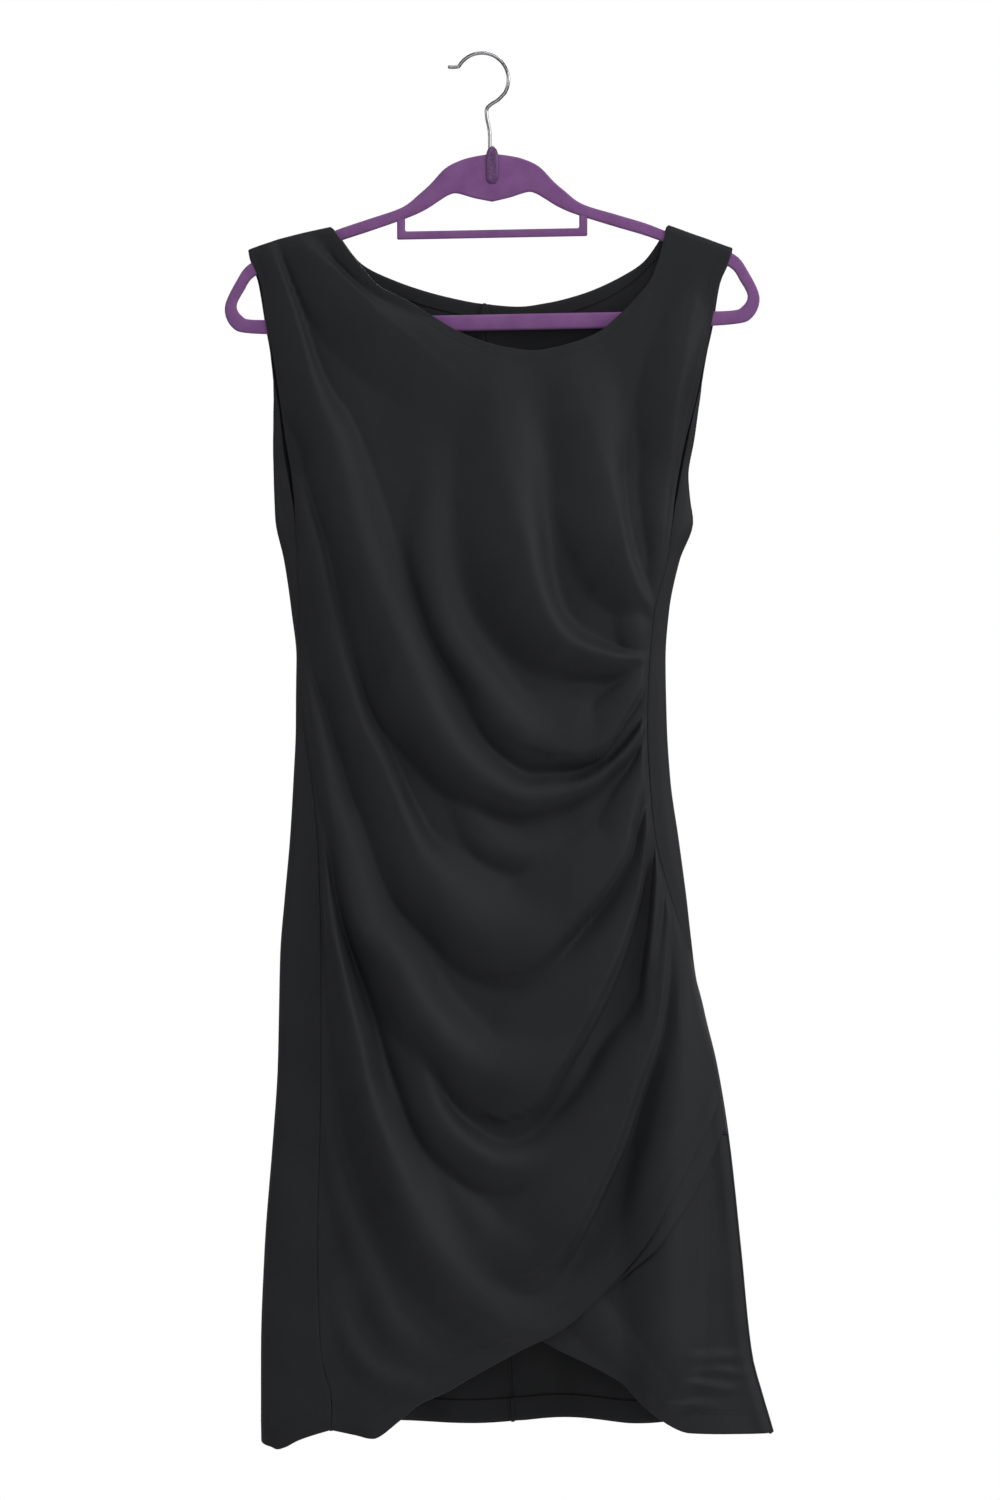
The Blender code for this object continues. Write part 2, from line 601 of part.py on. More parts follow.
def build_hanger(finish):
    """One flocked moulding: sloping arms, rounded ends and bottom bar in a ring, trouser bar, hook socket."""
    loops = []
    for half in (HANGER_OUTER, HANGER_INNER):
        loops.append([tilted(x, drop) for x, drop in whole(half)])
    body = slab("hanger_body", loops, HANGER_THICKNESS)
    body.data.materials.append(finish)
    rim = body.modifiers.new("Rim", "BEVEL")
    rim.width = HANGER_EDGE * MM
    rim.segments = 1
    rim.limit_method = "ANGLE"
    rim.angle_limit = math.radians(60)

    thickness = HANGER_THICKNESS - 0.6
    reach, low = BAR_OUTER
    upright = reach - BAR_SIZE / 2
    x, z = tilted(0, low - BAR_SIZE / 2)
    bars = [guide("trouser_bar_guide", (2 * reach - 1, thickness, BAR_SIZE), (x, z))]
    for side in (-1, 1):
        height = low - BAR_TOP
        x, z = tilted(side * upright, (low + BAR_TOP) / 2)
        bars.append(guide(f"upright_guide_{side + 1}", (BAR_SIZE, thickness - 0.1, height), (x, z)))
    turn = math.radians(HANGER_TILT)
    for vert in bars[0].data.vertices:
        vert.co.z += (vert.co.x - HANGER_CENTRE * MM) * math.sin(turn)
    top, bottom = SOCKET_DROPS
    x, z = tilted(0, (top + bottom) / 2)
    bars.append(guide("socket_guide", (2 * SOCKET_RADIUS, 2 * SOCKET_RADIUS, bottom - top), (x, z), "round"))
    for bar in bars:
        join(body, bar)
    return body


def build_hook(finish):
    """A swivel hook bent from round wire, its shank ending on the hanger's socket."""
    crown = HOOK_RADIUS - WIRE / 2
    start, end = (math.radians(angle) for angle in HOOK_SPAN)
    arc = []
    for step in range(HOOK_STEPS + 1):
        angle = start + (end - start) * step / HOOK_STEPS
        arc.append((HOOK_RADIUS * math.cos(angle), -crown + HOOK_RADIUS * math.sin(angle)))
    tip = [(arc[0][0] - HOOK_TIP, arc[0][1]), (arc[0][0] - HOOK_TIP / 2, arc[0][1] - 0.4)]
    kink_x, kink_drop = HOOK_KINK
    neck = [(kink_x + 9.5, -kink_drop + 5.6), (kink_x + 3, -kink_drop + 1.4), (kink_x, -kink_drop - 2.6)]
    shank_x, shank_z = tilted(0, SOCKET_DROPS[0] - GAP)
    shank = [(kink_x + 0.4, -kink_drop - 10), (shank_x - 2.2, shank_z + 12), (shank_x - 1.9, shank_z)]
    route = tip + arc + neck + shank
    line = bpy.data.curves.new("hanger_hook", "CURVE")
    line.dimensions = "3D"
    line.bevel_depth = WIRE / 2 * MM
    line.bevel_resolution = 2
    line.use_fill_caps = True
    spline = line.splines.new("POLY")
    spline.points.add(len(route) - 1)
    for point, (x, z) in zip(spline.points, route):
        point.co = (x * MM, 0, z * MM, 1)
    line.materials.append(finish)
    item = bpy.data.objects.new("hanger_hook", line)
    bpy.context.scene.collection.objects.link(item)
    return item


for old in list(bpy.data.objects):
    bpy.data.objects.remove(old)
jersey = material("black_jersey", (40, 41, 43), 0.6)
under_jersey = material("black_jersey_under", (38, 39, 41), 0.62)
facing_jersey = material("black_jersey_facing", (44, 45, 47), 0.6)
back_jersey = material("black_jersey_back", (34, 35, 36), 0.65)
flock = material("purple_flock", (122, 84, 128), 0.9)
chrome = material("chrome_wire", (205, 205, 208), 0.15, 1.0)
build_drape(jersey)
build_facing(facing_jersey)
build_underskirt(under_jersey)
build_back("left", back_jersey)
build_back("right", back_jersey)
build_hanger(flock)
build_hook(chrome)
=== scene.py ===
"""A sleeveless draped cocktail dress in black jersey, on a slim flocked hanger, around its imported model.

Tables are in millimetres. "Drop" is the distance below the inside of the hook's crown, where the rail lies.
The dress faces -Y. Meshes are made in metres.
"""

import math
from collections import namedtuple

import bmesh
import bpy
import numpy as np
from mathutils import Matrix, Vector


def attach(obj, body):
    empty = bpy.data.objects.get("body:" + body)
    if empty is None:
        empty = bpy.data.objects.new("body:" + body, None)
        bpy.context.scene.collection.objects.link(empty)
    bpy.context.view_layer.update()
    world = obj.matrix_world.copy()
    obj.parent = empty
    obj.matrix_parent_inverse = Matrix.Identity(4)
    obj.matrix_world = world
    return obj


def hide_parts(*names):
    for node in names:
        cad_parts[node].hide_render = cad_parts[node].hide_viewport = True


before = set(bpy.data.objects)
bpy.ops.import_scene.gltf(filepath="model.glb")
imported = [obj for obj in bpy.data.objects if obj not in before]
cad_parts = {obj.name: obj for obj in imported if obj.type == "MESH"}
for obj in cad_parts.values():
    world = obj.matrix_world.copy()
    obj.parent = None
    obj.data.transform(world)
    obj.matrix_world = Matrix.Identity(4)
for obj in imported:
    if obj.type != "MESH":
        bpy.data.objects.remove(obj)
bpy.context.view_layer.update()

# --- Hanger moulding --------------------------------------------------------------------------------------
# One injection-moulded ring of polystyrene: sloping arms, rounded ends and a bottom bar, with a trouser bar
# under its crown. It is sprayed with glue and flocked, so that its edges look soft and it has no gloss.

MM = 0.001
HANGER_THICKNESS = 5.0
HANGER_EDGE = 2.3
HANGER_TILT = 1.1  # degrees; its right side is the higher
HANGER_CENTRE = 8.5
HANGER_FLOCK = "#8B5C98"
HANGER_FLOCK_LIGHT = "#A270AB"
FLOCK_GRAIN = 0.45  # the real fibres are finer, and wouldn't show
FLOCK_PATCH = 14.0
FLOCK_PILE = 0.25
FLOCK_SHEEN = "#C79AD0"
# Right half of the ring, from the crown round the end to the middle of the bottom bar.
Station = namedtuple("Station", "outer_x outer_drop inner_x inner_drop")
HANGER_STATIONS = [Station(*row) for row in (
    (0, 82, 0, 122),
    (14, 84, 15, 118.7),
    (26, 87, 29, 114.6),
    (39, 93.5, 36, 115.8),
    (51, 106, 44, 120.5),
    (60, 114, 55, 127.4),
    (75, 125.3, 70, 134),
    (103, 134.5, 100, 144),
    (128, 142.5, 125, 151.8),
    (150, 151.5, 147, 160),
    (176, 160.8, 172, 169.9),
    (201, 169.5, 197, 180),
    (212.5, 184, 206, 192),
    (222, 205.5, 212, 204),
    (216, 222, 208, 212.5),
    (200, 227.5, 197, 216.2),
    (150, 229, 150, 216),
    (100, 229, 100, 215.5),
    (0, 229, 0, 215.5),
)]
HANGER_STEPS = 5  # stations made between two rows
BAR_REACH = 79.0
BAR_TOP = 129.0
BAR_MIDDLE = 140.0
BAR_LOW = 152.0
BAR_SIZE = 6.8
BAR_CORNER = 2.0
BAR_THINNER = 0.8  # than the ring


def linear(hex_colour):
    """An sRGB hex colour as linear RGBA."""
    channels = [int(hex_colour[i : i + 2], 16) / 255 for i in (1, 3, 5)]
    turned = [c / 12.92 if c <= 0.04045 else ((c + 0.055) / 1.055) ** 2.4 for c in channels]
    return (*turned, 1.0)


def feed(node, *inputs, **named):
    """Gives a shader node its inputs, by place or by name. An output is linked, and any other value is
    set."""
    for key, value in [*enumerate(inputs), *named.items()]:
        socket = node.inputs[key if isinstance(key, int) else key.replace("_", " ")]
        if isinstance(value, bpy.types.NodeSocket):
            node.id_data.links.new(value, socket)
        else:
            socket.default_value = value


def add_node(tree, kind, *inputs, stops=(), **named):
    """A shader node with its inputs and, by names in small letters, its settings. Stops are a colour
    ramp's, as (position, hex colour)."""
    node = tree.nodes.new(kind)
    for key in [key for key in named if key.islower()]:
        setattr(node, key, named.pop(key))
    for stop, (position, colour) in enumerate(stops):
        node.color_ramp.elements[stop].position = position
        node.color_ramp.elements[stop].color = linear(colour)
    feed(node, *inputs, **named)
    return node


def new_material(name, **inputs):
    """A material, its node tree and its one Principled shader."""
    made = bpy.data.materials.new(name)
    made.use_nodes = True
    shader = made.node_tree.nodes["Principled BSDF"]
    feed(shader, **inputs)
    return made, made.node_tree, shader


def new_object(name, made, finish):
    """An object from a bmesh, smooth, at the origin and in the scene."""
    mesh = bpy.data.meshes.new(name)
    for face in made.faces:
        face.smooth = True
    made.to_mesh(mesh)
    made.free()
    mesh.materials.append(finish)
    item = bpy.data.objects.new(name, mesh)
    bpy.context.scene.collection.objects.link(item)
    return item


def new_piece(name, made, finish):
    """An object from a bmesh that rides on the body, as every piece does."""
    item = new_object(name, made, finish)
    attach(item, "root")
    return item


def formed(points, closed=False, cloth_map=None):
    """A bmesh grid moved to points[row, column], in millimetres. A closed one is joined where its edges
    meet. cloth_map holds the UV place of each point."""
    rows, columns = points.shape[0] - 1, points.shape[1] - 1
    made = bmesh.new()
    bmesh.ops.create_grid(made, x_segments=columns, y_segments=rows, size=1, calc_uvs=False)
    layer = made.loops.layers.uv.new("cloth") if cloth_map is not None else None
    for vert in made.verts:
        column = round((vert.co.x + 1) / 2 * columns)
        row = round((1 - vert.co.y) / 2 * rows)
        vert.co = points[row, column] * MM
        if layer:
            for loop in vert.link_loops:
                loop[layer].uv = cloth_map[row, column]
    if closed:
        bmesh.ops.remove_doubles(made, verts=made.verts, dist=1e-6)
    return made


def smooth_line(points, steps):
    """Points of a smooth line through a few given points, steps of them for each stretch."""
    given = np.asarray(points, float)
    ends = np.vstack([2 * given[0] - given[1], given, 2 * given[-1] - given[-2]])
    t = np.arange(steps)[:, None] / steps
    line = []
    for before, start, end, after in zip(ends, ends[1:], ends[2:], ends[3:]):
        line.append(
            start
            + (end - before) / 2 * t
            + (before - 2.5 * start + 2 * end - after / 2) * t**2
            + (1.5 * (start - end) + (after - before) / 2) * t**3
        )
    return np.vstack([*line, given[-1:]])


def tilted(x, drop):
    """A point of the hanger's own outline, as x and drop in the row's frame."""
    turn = math.radians(HANGER_TILT)
    return HANGER_CENTRE + x * math.cos(turn), drop - x * math.sin(turn)


def rounded_section(half_width, half_depth, corner, steps=4):
    """A rectangle with round corners, as (across, out) points all the way round."""
    corner = min(corner, half_width, half_depth)
    section = []
    for quarter in range(4):
        for step in range(steps + 1):
            angle = math.pi / 2 * (quarter + step / steps)
            side = 1 if quarter in (0, 3) else -1
            face = 1 if quarter in (0, 1) else -1
            across = side * (half_width - corner) + corner * math.cos(angle)
            out = face * (half_depth - corner) + corner * math.sin(angle)
            section.append((across, out))
    return np.array(section + section[:1])


def swept_bar(outer, inner, depth, corner):
    """Points of a bar whose two edges, seen from the front, are the outer and inner lines."""
    middle = (outer + inner) / 2
    across = (outer - inner) / 2
    rings = []
    for (x, drop), (side_x, side_drop) in zip(middle, across):
        half = math.hypot(side_x, side_drop)
        section = rounded_section(half, depth / 2, corner)
        at_x, at_drop = tilted(x + section[:, 0] * side_x / half, drop + section[:, 0] * side_drop / half)
        rings.append(np.column_stack([at_x, section[:, 1], -at_drop]))
    return np.array(rings)


def bar_line(reach, low):
    """One edge of the trouser bar, from its top left down, across and up to its top right."""
    half = [(-reach, BAR_TOP), (-reach, BAR_MIDDLE), (-reach, low - 1), (-reach + 1, low)]
    return np.array(half + [(-x, drop) for x, drop in half[::-1]], float)


# Nylon flock: a matt, velvety face, a little lighter where it turns away.
flock, tree, shader = new_material("flocked_polystyrene", Roughness=0.92)
place = add_node(tree, "ShaderNodeTexCoord").outputs["Object"]
fibres = add_node(
    tree, "ShaderNodeTexNoise", Vector=place, Scale=1 / (FLOCK_GRAIN * MM), Detail=3.0, Roughness=0.7,
).outputs["Fac"]
patches = add_node(tree, "ShaderNodeTexNoise", Vector=place, Scale=1 / (FLOCK_PATCH * MM), Detail=2.0)
mixed = add_node(tree, "ShaderNodeMix", data_type="FLOAT", Factor=0.4, A=fibres, B=patches.outputs["Fac"])
flock_tints = [(0.34, HANGER_FLOCK), (0.66, HANGER_FLOCK_LIGHT)]
tint = add_node(tree, "ShaderNodeValToRGB", mixed.outputs["Result"], stops=flock_tints)
pile = add_node(tree, "ShaderNodeBump", Height=fibres, Strength=0.5, Distance=FLOCK_PILE * MM)
feed(
    shader, Base_Color=tint.outputs["Color"], Normal=pile.outputs["Normal"], Specular_IOR_Level=0.1,
    Sheen_Weight=0.35, Sheen_Roughness=0.5, Sheen_Tint=linear(FLOCK_SHEEN),
)

ring_lines = []
for edge in ("outer", "inner"):
    rows = [(getattr(row, edge + "_x"), getattr(row, edge + "_drop")) for row in HANGER_STATIONS]
    line = smooth_line(rows, HANGER_STEPS)
    ring_lines.append(np.vstack([line, line[-2:0:-1] * (-1, 1), line[:1]]))
ring = formed(swept_bar(*ring_lines, HANGER_THICKNESS, HANGER_EDGE), closed=True)
bmesh.ops.recalc_face_normals(ring, faces=ring.faces)
hanger = new_piece("hanger_moulding", ring, flock)
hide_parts("hanger_body")

bar_lines = bar_line(BAR_REACH, BAR_LOW), bar_line(BAR_REACH - BAR_SIZE, BAR_LOW - BAR_SIZE)
bar = formed(swept_bar(*bar_lines, HANGER_THICKNESS - BAR_THINNER, BAR_CORNER), closed=True)
bmesh.ops.holes_fill(bar, edges=[edge for edge in bar.edges if edge.is_boundary])
bmesh.ops.recalc_face_normals(bar, faces=bar.faces)
trouser_bar = new_piece("trouser_bar", bar, flock)

# --- Hook socket ------------------------------------------------------------------------------------------
# The boss that the hook turns in: the same moulding, proud of the crown on both faces, domed on top, with a
# shallow channel down each face. Handling has worn its flock thin, so the plastic's own gloss shows.

BOSS_DROPS = (75.5, 108.5)
BOSS_WIDTH = 11.5
BOSS_DEPTH = 10.8
BOSS_CHANNEL = 1.0
BOSS_SQUARENESS = 0.75  # 1 is round, seen from above, and less is squarer
BOSS_DOMES = (2.6, 5)  # how full its top and its foot are
BOSS_RINGS = 26
BOSS_ROUND = 40
BOSS_COLOUR = "#5B3A68"
BOSS_WEAR = 1.6

# Polystyrene with its flock worn thin: glossy in small patches, dull between them.
worn, tree, shader = new_material("worn_polystyrene", Roughness=0.34)
place = add_node(tree, "ShaderNodeTexCoord").outputs["Object"]
wear = add_node(tree, "ShaderNodeTexNoise", Vector=place, Scale=1 / (BOSS_WEAR * MM), Detail=4.0)
wear = wear.outputs["Fac"]
tint = add_node(tree, "ShaderNodeValToRGB", wear, stops=[(0.35, BOSS_COLOUR), (0.7, HANGER_FLOCK)])
dulled = add_node(tree, "ShaderNodeMapRange", wear, From_Min=0.35, From_Max=0.65, To_Min=0.28, To_Max=0.62)
feed(shader, Base_Color=tint.outputs["Color"], Roughness=dulled.outputs["Result"])

rings = []
top, bottom = BOSS_DROPS
turn = np.linspace(0, 2 * math.pi, BOSS_ROUND + 1)
across, out = (np.sign(wave) * np.abs(wave) ** BOSS_SQUARENESS for wave in (np.cos(turn), np.sin(turn)))
for share in np.linspace(0, 1, BOSS_RINGS + 1):
    lengthwise = 2 * share - 1
    dome = BOSS_DOMES[0] if lengthwise < 0 else BOSS_DOMES[1]
    size = max(1 - abs(lengthwise) ** dome, 0.0) ** 0.5
    channel = BOSS_CHANNEL * np.exp(-((across * 2.1) ** 4)) * np.clip(1 - abs(lengthwise + 0.1) ** 4, 0, 1)
    x, drop = tilted(across * BOSS_WIDTH / 2 * size, top + share * (bottom - top))
    y = out * BOSS_DEPTH / 2 * size - np.sign(out) * channel * size * (np.abs(out) > 0.5)
    rings.append(np.column_stack([x, y, -drop]))
boss = formed(np.array(rings), closed=True)
bmesh.ops.recalc_face_normals(boss, faces=boss.faces)
socket = new_piece("hook_socket", boss, worn)

# --- Hook -------------------------------------------------------------------------------------------------
# Round steel wire bent to a hook and chromed. Its shank is riveted into the socket, where it can turn.

WIRE = 3.0
HOOK_RADIUS = 22.0
HOOK_SPAN = (151, -31)  # degrees, from the open end over the crown to the neck
HOOK_KINK = (3.9, 43.0)
HOOK_TIP = 9.0
HOOK_TIP_RADIUS = 0.55  # of the wire's own, where its cut end is rounded off
HOOK_STEPS = 60
HOOK_TIP_STEPS = 6
HOOK_NECK_STEPS = 8
HOOK_SCUFF = 2.5

# Chrome plate: bright and smooth, with faint scuffs all over.
chrome, tree, shader = new_material("chromed_steel", Roughness=0.16, Metallic=1.0)
place = add_node(tree, "ShaderNodeTexCoord").outputs["Object"]
scuffs = add_node(tree, "ShaderNodeTexNoise", Vector=place, Scale=1 / (HOOK_SCUFF * MM), Detail=5.0)
scuffs = scuffs.outputs["Fac"]
tint = add_node(tree, "ShaderNodeValToRGB", scuffs, stops=[(0.3, "#9C9CA0"), (0.6, "#BDBDC1")])
polish = add_node(tree, "ShaderNodeMapRange", scuffs, From_Min=0.3, From_Max=0.7, To_Min=0.1, To_Max=0.26)
feed(shader, Base_Color=tint.outputs["Color"], Roughness=polish.outputs["Result"])

crown = HOOK_RADIUS - WIRE / 2
bend = np.radians(np.linspace(*HOOK_SPAN, HOOK_STEPS + 1))
arc = np.column_stack([HOOK_RADIUS * np.cos(bend), crown - HOOK_RADIUS * np.sin(bend)])
tip = smooth_line([arc[0] + (-HOOK_TIP, 0.2), arc[0] + (-HOOK_TIP / 2, 0.5), arc[0]], HOOK_TIP_STEPS)
kink_x, kink_drop = HOOK_KINK
shank_x, shank_drop = tilted(0, BOSS_DROPS[0] + 4)
neck = smooth_line([
    arc[-1], (kink_x + 9.5, kink_drop - 5.6), (kink_x + 3, kink_drop - 1.4), (kink_x, kink_drop + 2.6),
    (kink_x + 0.4, kink_drop + 10), (shank_x - 2.2, shank_drop - 16), (shank_x - 1.9, shank_drop),
], HOOK_NECK_STEPS)
route = np.vstack([tip[:-1], arc[:-1], neck])
line = bpy.data.curves.new("hook_wire", "CURVE")
line.dimensions = "3D"
line.bevel_depth = WIRE / 2 * MM
line.bevel_resolution = 6
line.use_fill_caps = True
spline = line.splines.new("POLY")
spline.points.add(len(route) - 1)
for point, (x, drop) in zip(spline.points, route):
    point.co = (x * MM, 0, -drop * MM, 1)
spline.points[0].radius = HOOK_TIP_RADIUS
wire = bpy.data.objects.new("hook_wire", line)
bpy.context.scene.collection.objects.link(wire)
bpy.context.view_layer.update()
mesh = bpy.data.meshes.new_from_object(wire)
bpy.data.objects.remove(wire)
made = bmesh.new()
made.from_mesh(mesh)
bpy.data.meshes.remove(mesh)
bmesh.ops.remove_doubles(made, verts=made.verts, dist=1e-7)
hook = new_piece("hook", made, chrome)
hook.data.set_sharp_from_angle(angle=math.radians(50))
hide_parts("hanger_hook")

# --- Back panels ------------------------------------------------------------------------------------------
# Two halves of black viscose jersey, joined by a straight seam down the middle and sewn to the front along
# the shoulders and sides. Neck, armholes and hem are turned in, so that every edge is a soft fold.

JERSEY = 0.7
TURN = 1.7  # how far the face of what is turned in lies behind the panel's face
# Shares of a flap's width, and how far behind the panel's face it lies there.
FLAP = ((1, 1.45), (0.94, 1.45), (0.6, 1.55), (0.25, TURN))
FOLD_ANGLES = (180, 135, 90, 45)  # degrees round the fold of a turned edge
FOLD_SHARE = 0.6  # a fold takes up at most this share of the first stretch of cloth
NECK_TURN = 12.0
SEAM_TURN = 7.0
CORNER_TURN = 0.8  # the sides' turnings narrow to this at a panel's corners
SHOULDER_TURN = 5.0
HEM_TURN = 20.0
ON_SHOULDER = 0.6  # a point this near a shoulder's line lies on its seam
SEAM_GAP = 0.3
SIDE_OVERLAP = 0.15  # front and back are sewn through, so no light shows between them
CENTRE_OVERLAP = 0.3  # the back's two halves cross by this much at their seam
BACK_PROUD = 1.5  # the back's face lies this far outside the tube's line
TUBE_POWER = 2.4  # 2 is an ellipse; more is flatter with rounder sides
FILLING_OUT = (330, 440)  # drops between which the flat chest fills out to the tube
EDGE_SHARE = 0.68  # the armhole's edges hang closer together than the solids'
SHOULDER_ROLL = 6.0  # how far the cloth takes to turn over the hanger's arm
UNDERARM = (330, 392)  # drops between which the armhole closes into the side seam
ARMHOLE_ROLL = (245, 300)  # drops between which the back's armhole edge rolls forward to the front's
ARMHOLE_ROLLED = 0.85  # the share of that way that it has rolled below them
BACK_COLUMNS = 84
BACK_ROW_PARTS = 4  # rows of its mesh for each one that ROWS numbers
BACK_LOWER_ROWS = 6  # how many more of those the right half has, below the drape's end
BACK_CORNER_ROWS = 12
BACK_SETTLED = 0.5  # share of the height at which its columns have taken up their own spacing
BACK_FADES = (0.12, 0.14)  # shares of the width over which folds fade out toward the side and the middle
BACK_FOLDS_FROM = (0.1, 0.5)  # radians past the tube's extreme between which the back's own folds begin
CREST_STEPS = 7  # points made between two of a crest's
JERSEY_BLACK = "#222326"
JERSEY_WORN = "#2B2C30"
JERSEY_PATCH = 55.0
JERSEY_FLUFF = 1.7
STITCH_WIDTH = 0.9  # the knit's real stitches are about half as wide, and wouldn't show
STITCH_HEIGHT = 0.75
STITCH_RELIEF = 0.08
STITCH_LEAN = 1.6
FORWARD, BACKWARD = slice(None), slice(None, None, -1)  # orders in which a grid's rows are taken

# One row for each level. left and right are the tube's extremes, front_left and front_right the edges of
# the front panel, edge half the armhole's opening from front to back, and front and back the added depth.
Section = namedtuple("Section", "drop left right front_left front_right edge front back")
SECTIONS = [Section(*row) for row in (
    (138, -194, 208, -193, 208, 5.0, 0, 0),
    (163, -194, 208, -193, 207, 5.0, 1, 1),
    (190, -186, 198, -184, 197, 5.0, 5, 4),
    (226, -180, 192, -179, 190, 5.0, 10, 8),
    (249, -176, 187, -174, 185.5, 5.0, 13, 10),
    (287, -173, 181, -168, 177.5, 4.5, 17, 12),
    (320, -173, 176, -163, 169, 3.5, 20, 14),
    (350, -172, 171, -158, 163, 2.0, 23, 16),
    (370, -171, 172, -156, 160, 0.5, 26, 19),
    (387, -170, 174, -155, 158, 0, 28, 21),
    (419, -163, 163, -153, 154, 0, 29, 22),
    (461, -157, 154, -152, 143, 0, 27, 22),
    (502, -153, 151, -151, 139, 0, 26, 22),
    (554, -153, 152, -148, 137, 0, 26, 23),
    (602, -155, 155, -141, 139, 0, 27, 24),
    (652, -158, 162, -136, 144, 0, 28, 26),
    (697, -162, 168, -134, 156, 0, 30, 27),
    (747, -166, 174, -133, 173, 0, 31, 29),
    (793, -167, 184, -133, 184, 0, 32, 30),
    (839, -168, 195, -133, 195, 0, 33, 31),
    (900, -172, 205, -134, 205, 0, 34, 32),
    (992, -179, 215, -136, 215, 0, 35, 33),
    (1078, -182, 224, -133, 224, 0, 36, 34),
    (1116, -182, 234, -124, 234, 0, 36, 34),
    (1143, -182, 242, -125, 242, 0, 36, 34),
    (1160, -181, 246, -126, 246, 0, 36, 34),
)]
DEPTH_SOFTENING = 30  # mm of drop over which the tube's depth is evened out

# Outlines seen from the front, each row of them an (x, drop).
LEFT_SHOULDER = [(-194, 161.5), (-183, 157.5), (-154, 149), (-125, 142.5)]
RIGHT_SHOULDER = [(154.5, 141), (178, 149.5), (208, 160)]
BACK_SHOULDER_END = -194
BACK_NECK = [
    (-125, 142.5), (-118, 151), (-100, 173.5), (-71, 188), (-33, 200), (0, 206.5), (30, 209), (54, 206),
    (85, 198), (116, 184), (134, 172), (148, 153), (154.5, 141),
]
CENTRE_BACK = [(2, 200), (26, 1145)]
LEFT_WRAP = 0.22  # share of the left back's hem that comes round to the front
BACK_CROWDING = 1.2  # how much closer its columns stand near the side than at the middle
UNDERARM_TURN = (0.1, 0.8)  # how sharply, and from where, the back turns from its rear to its front layer
BACK_HEM_LEFT_FLAP = [(-125, 1139), (-149, 1148), (-162, 1154), (-172, 1156), (-182, 1154)]
BACK_HEM = [
    (-182, 1154), (-150, 1149), (-86, 1144), (-42, 1136), (10, 1139), (46, 1134), (90, 1139), (126, 1137),
    (172, 1146), (241, 1143),
]
DRAPE_END = 864  # drop at which the front drape's hem reaches the right side seam

# Rows of the front's mesh follow its swags: the drop of some rows at its left edge, lowest point and right
# edge.
Row = namedtuple("Row", "number left middle right")
ROWS = [Row(*row) for row in (
    (0, 160, 246, 160),
    (11, 238, 480, 420),
    (15, 268, 572, 500),
    (18, 302, 607, 550),
    (23, 395, 731, 585),
    (28, 500, 839, 620),
    (32, 580, 922, 660),
    (36, 680, 987, 705),
    (40, 810, 1040, 760),
    (45, 1139, 1071, 864),
)]
ROLL_ROWS = [0, 0.0012, 0.0035, 0.008, 0.018]  # shares of the height, close together where cloth turns over
ROLL_STEPS = 8  # rows of the mesh that they are made into

# A fold's crest, from its upper end to its lower or right end: its place, how far the cloth stands out
# there, and how far it takes to fall away above or right of the crest (inner) and below or left of it
# (outer). Each side is hollow below a sharp crest at 0, soft at 0.5, and at 1 it rounds over all the way
# down to a steep foot.
Crest = namedtuple("Crest", "x drop height inner outer")
Fold = namedtuple("Fold", "name inner_round outer_round crest")
BACK_FOLDS = [
    Fold("left_shoulder_drag", 0.5, 0.5, [
        (-168, 158, 1, 12, 10), (-140, 230, 3, 24, 18), (-118, 320, 4, 34, 24), (-92, 420, 3, 36, 26),
        (-60, 500, 0, 30, 24)]),
    Fold("right_shoulder_drag", 0.5, 0.5, [
        (186, 160, 1, 10, 12), (160, 240, 3, 20, 22), (140, 330, 4, 24, 30), (118, 420, 2, 26, 30),
        (92, 490, 0, 24, 26)]),
    Fold("yoke_hollow", 0.5, 0.5, [
        (-84, 206, 0, 20, 26), (-40, 240, 2, 24, 34), (14, 254, 3, 26, 38), (72, 240, 2, 24, 34),
        (112, 208, 0, 20, 26)]),
    Fold("waist_drag", 0.5, 0.5, [
        (146, 520, 3, 12, 8), (112, 548, 5, 20, 16), (64, 590, 6, 28, 22), (10, 616, 4, 30, 26),
        (-48, 610, 0, 26, 24)]),
    Fold("upper_waist_drag", 0.5, 0.5, [
        (144, 470, 2, 12, 8), (108, 486, 4, 18, 14), (60, 506, 4, 24, 20), (16, 508, 0, 24, 20)]),
    Fold("hip_drag", 0.5, 0.5, [
        (150, 590, 3, 14, 9), (118, 640, 5, 22, 18), (72, 700, 6, 30, 24), (22, 742, 5, 34, 28),
        (-40, 756, 3, 34, 28), (-96, 734, 0, 30, 24)]),
    Fold("left_waist_drag", 0.5, 0.5, [
        (-146, 560, 2, 14, 12), (-112, 600, 4, 22, 18), (-70, 640, 3, 26, 22), (-30, 660, 0, 24, 22)]),
    Fold("left_flute", 0.5, 0.5, [
        (-120, 700, 0, 24, 24), (-124, 820, 4, 32, 28), (-128, 940, 6, 34, 28), (-132, 1060, 7, 34, 26),
        (-138, 1160, 7, 34, 26)]),
    Fold("inner_flute", 0.5, 0.5, [
        (-40, 800, 0, 26, 26), (-46, 900, 3, 32, 32), (-50, 1020, 5, 34, 34), (-58, 1160, 5, 34, 34)]),
    Fold("right_flute", 0.5, 0.5, [
        (118, 690, 0, 26, 26), (132, 800, 4, 32, 30), (146, 920, 6, 34, 32), (160, 1040, 7, 34, 34),
        (176, 1150, 6, 34, 34)]),
    Fold("middle_flute", 0.5, 0.5, [
        (70, 860, 0, 24, 28), (76, 960, 3, 30, 32), (86, 1060, 5, 32, 34), (92, 1150, 5, 32, 34)]),
]


def smooth_step(low, high, value):
    """0 up to low and 1 from high on, with a smooth rise between them."""
    share = np.clip((np.asarray(value, float) - low) / (high - low), 0, 1)
    return share * share * (3 - 2 * share)


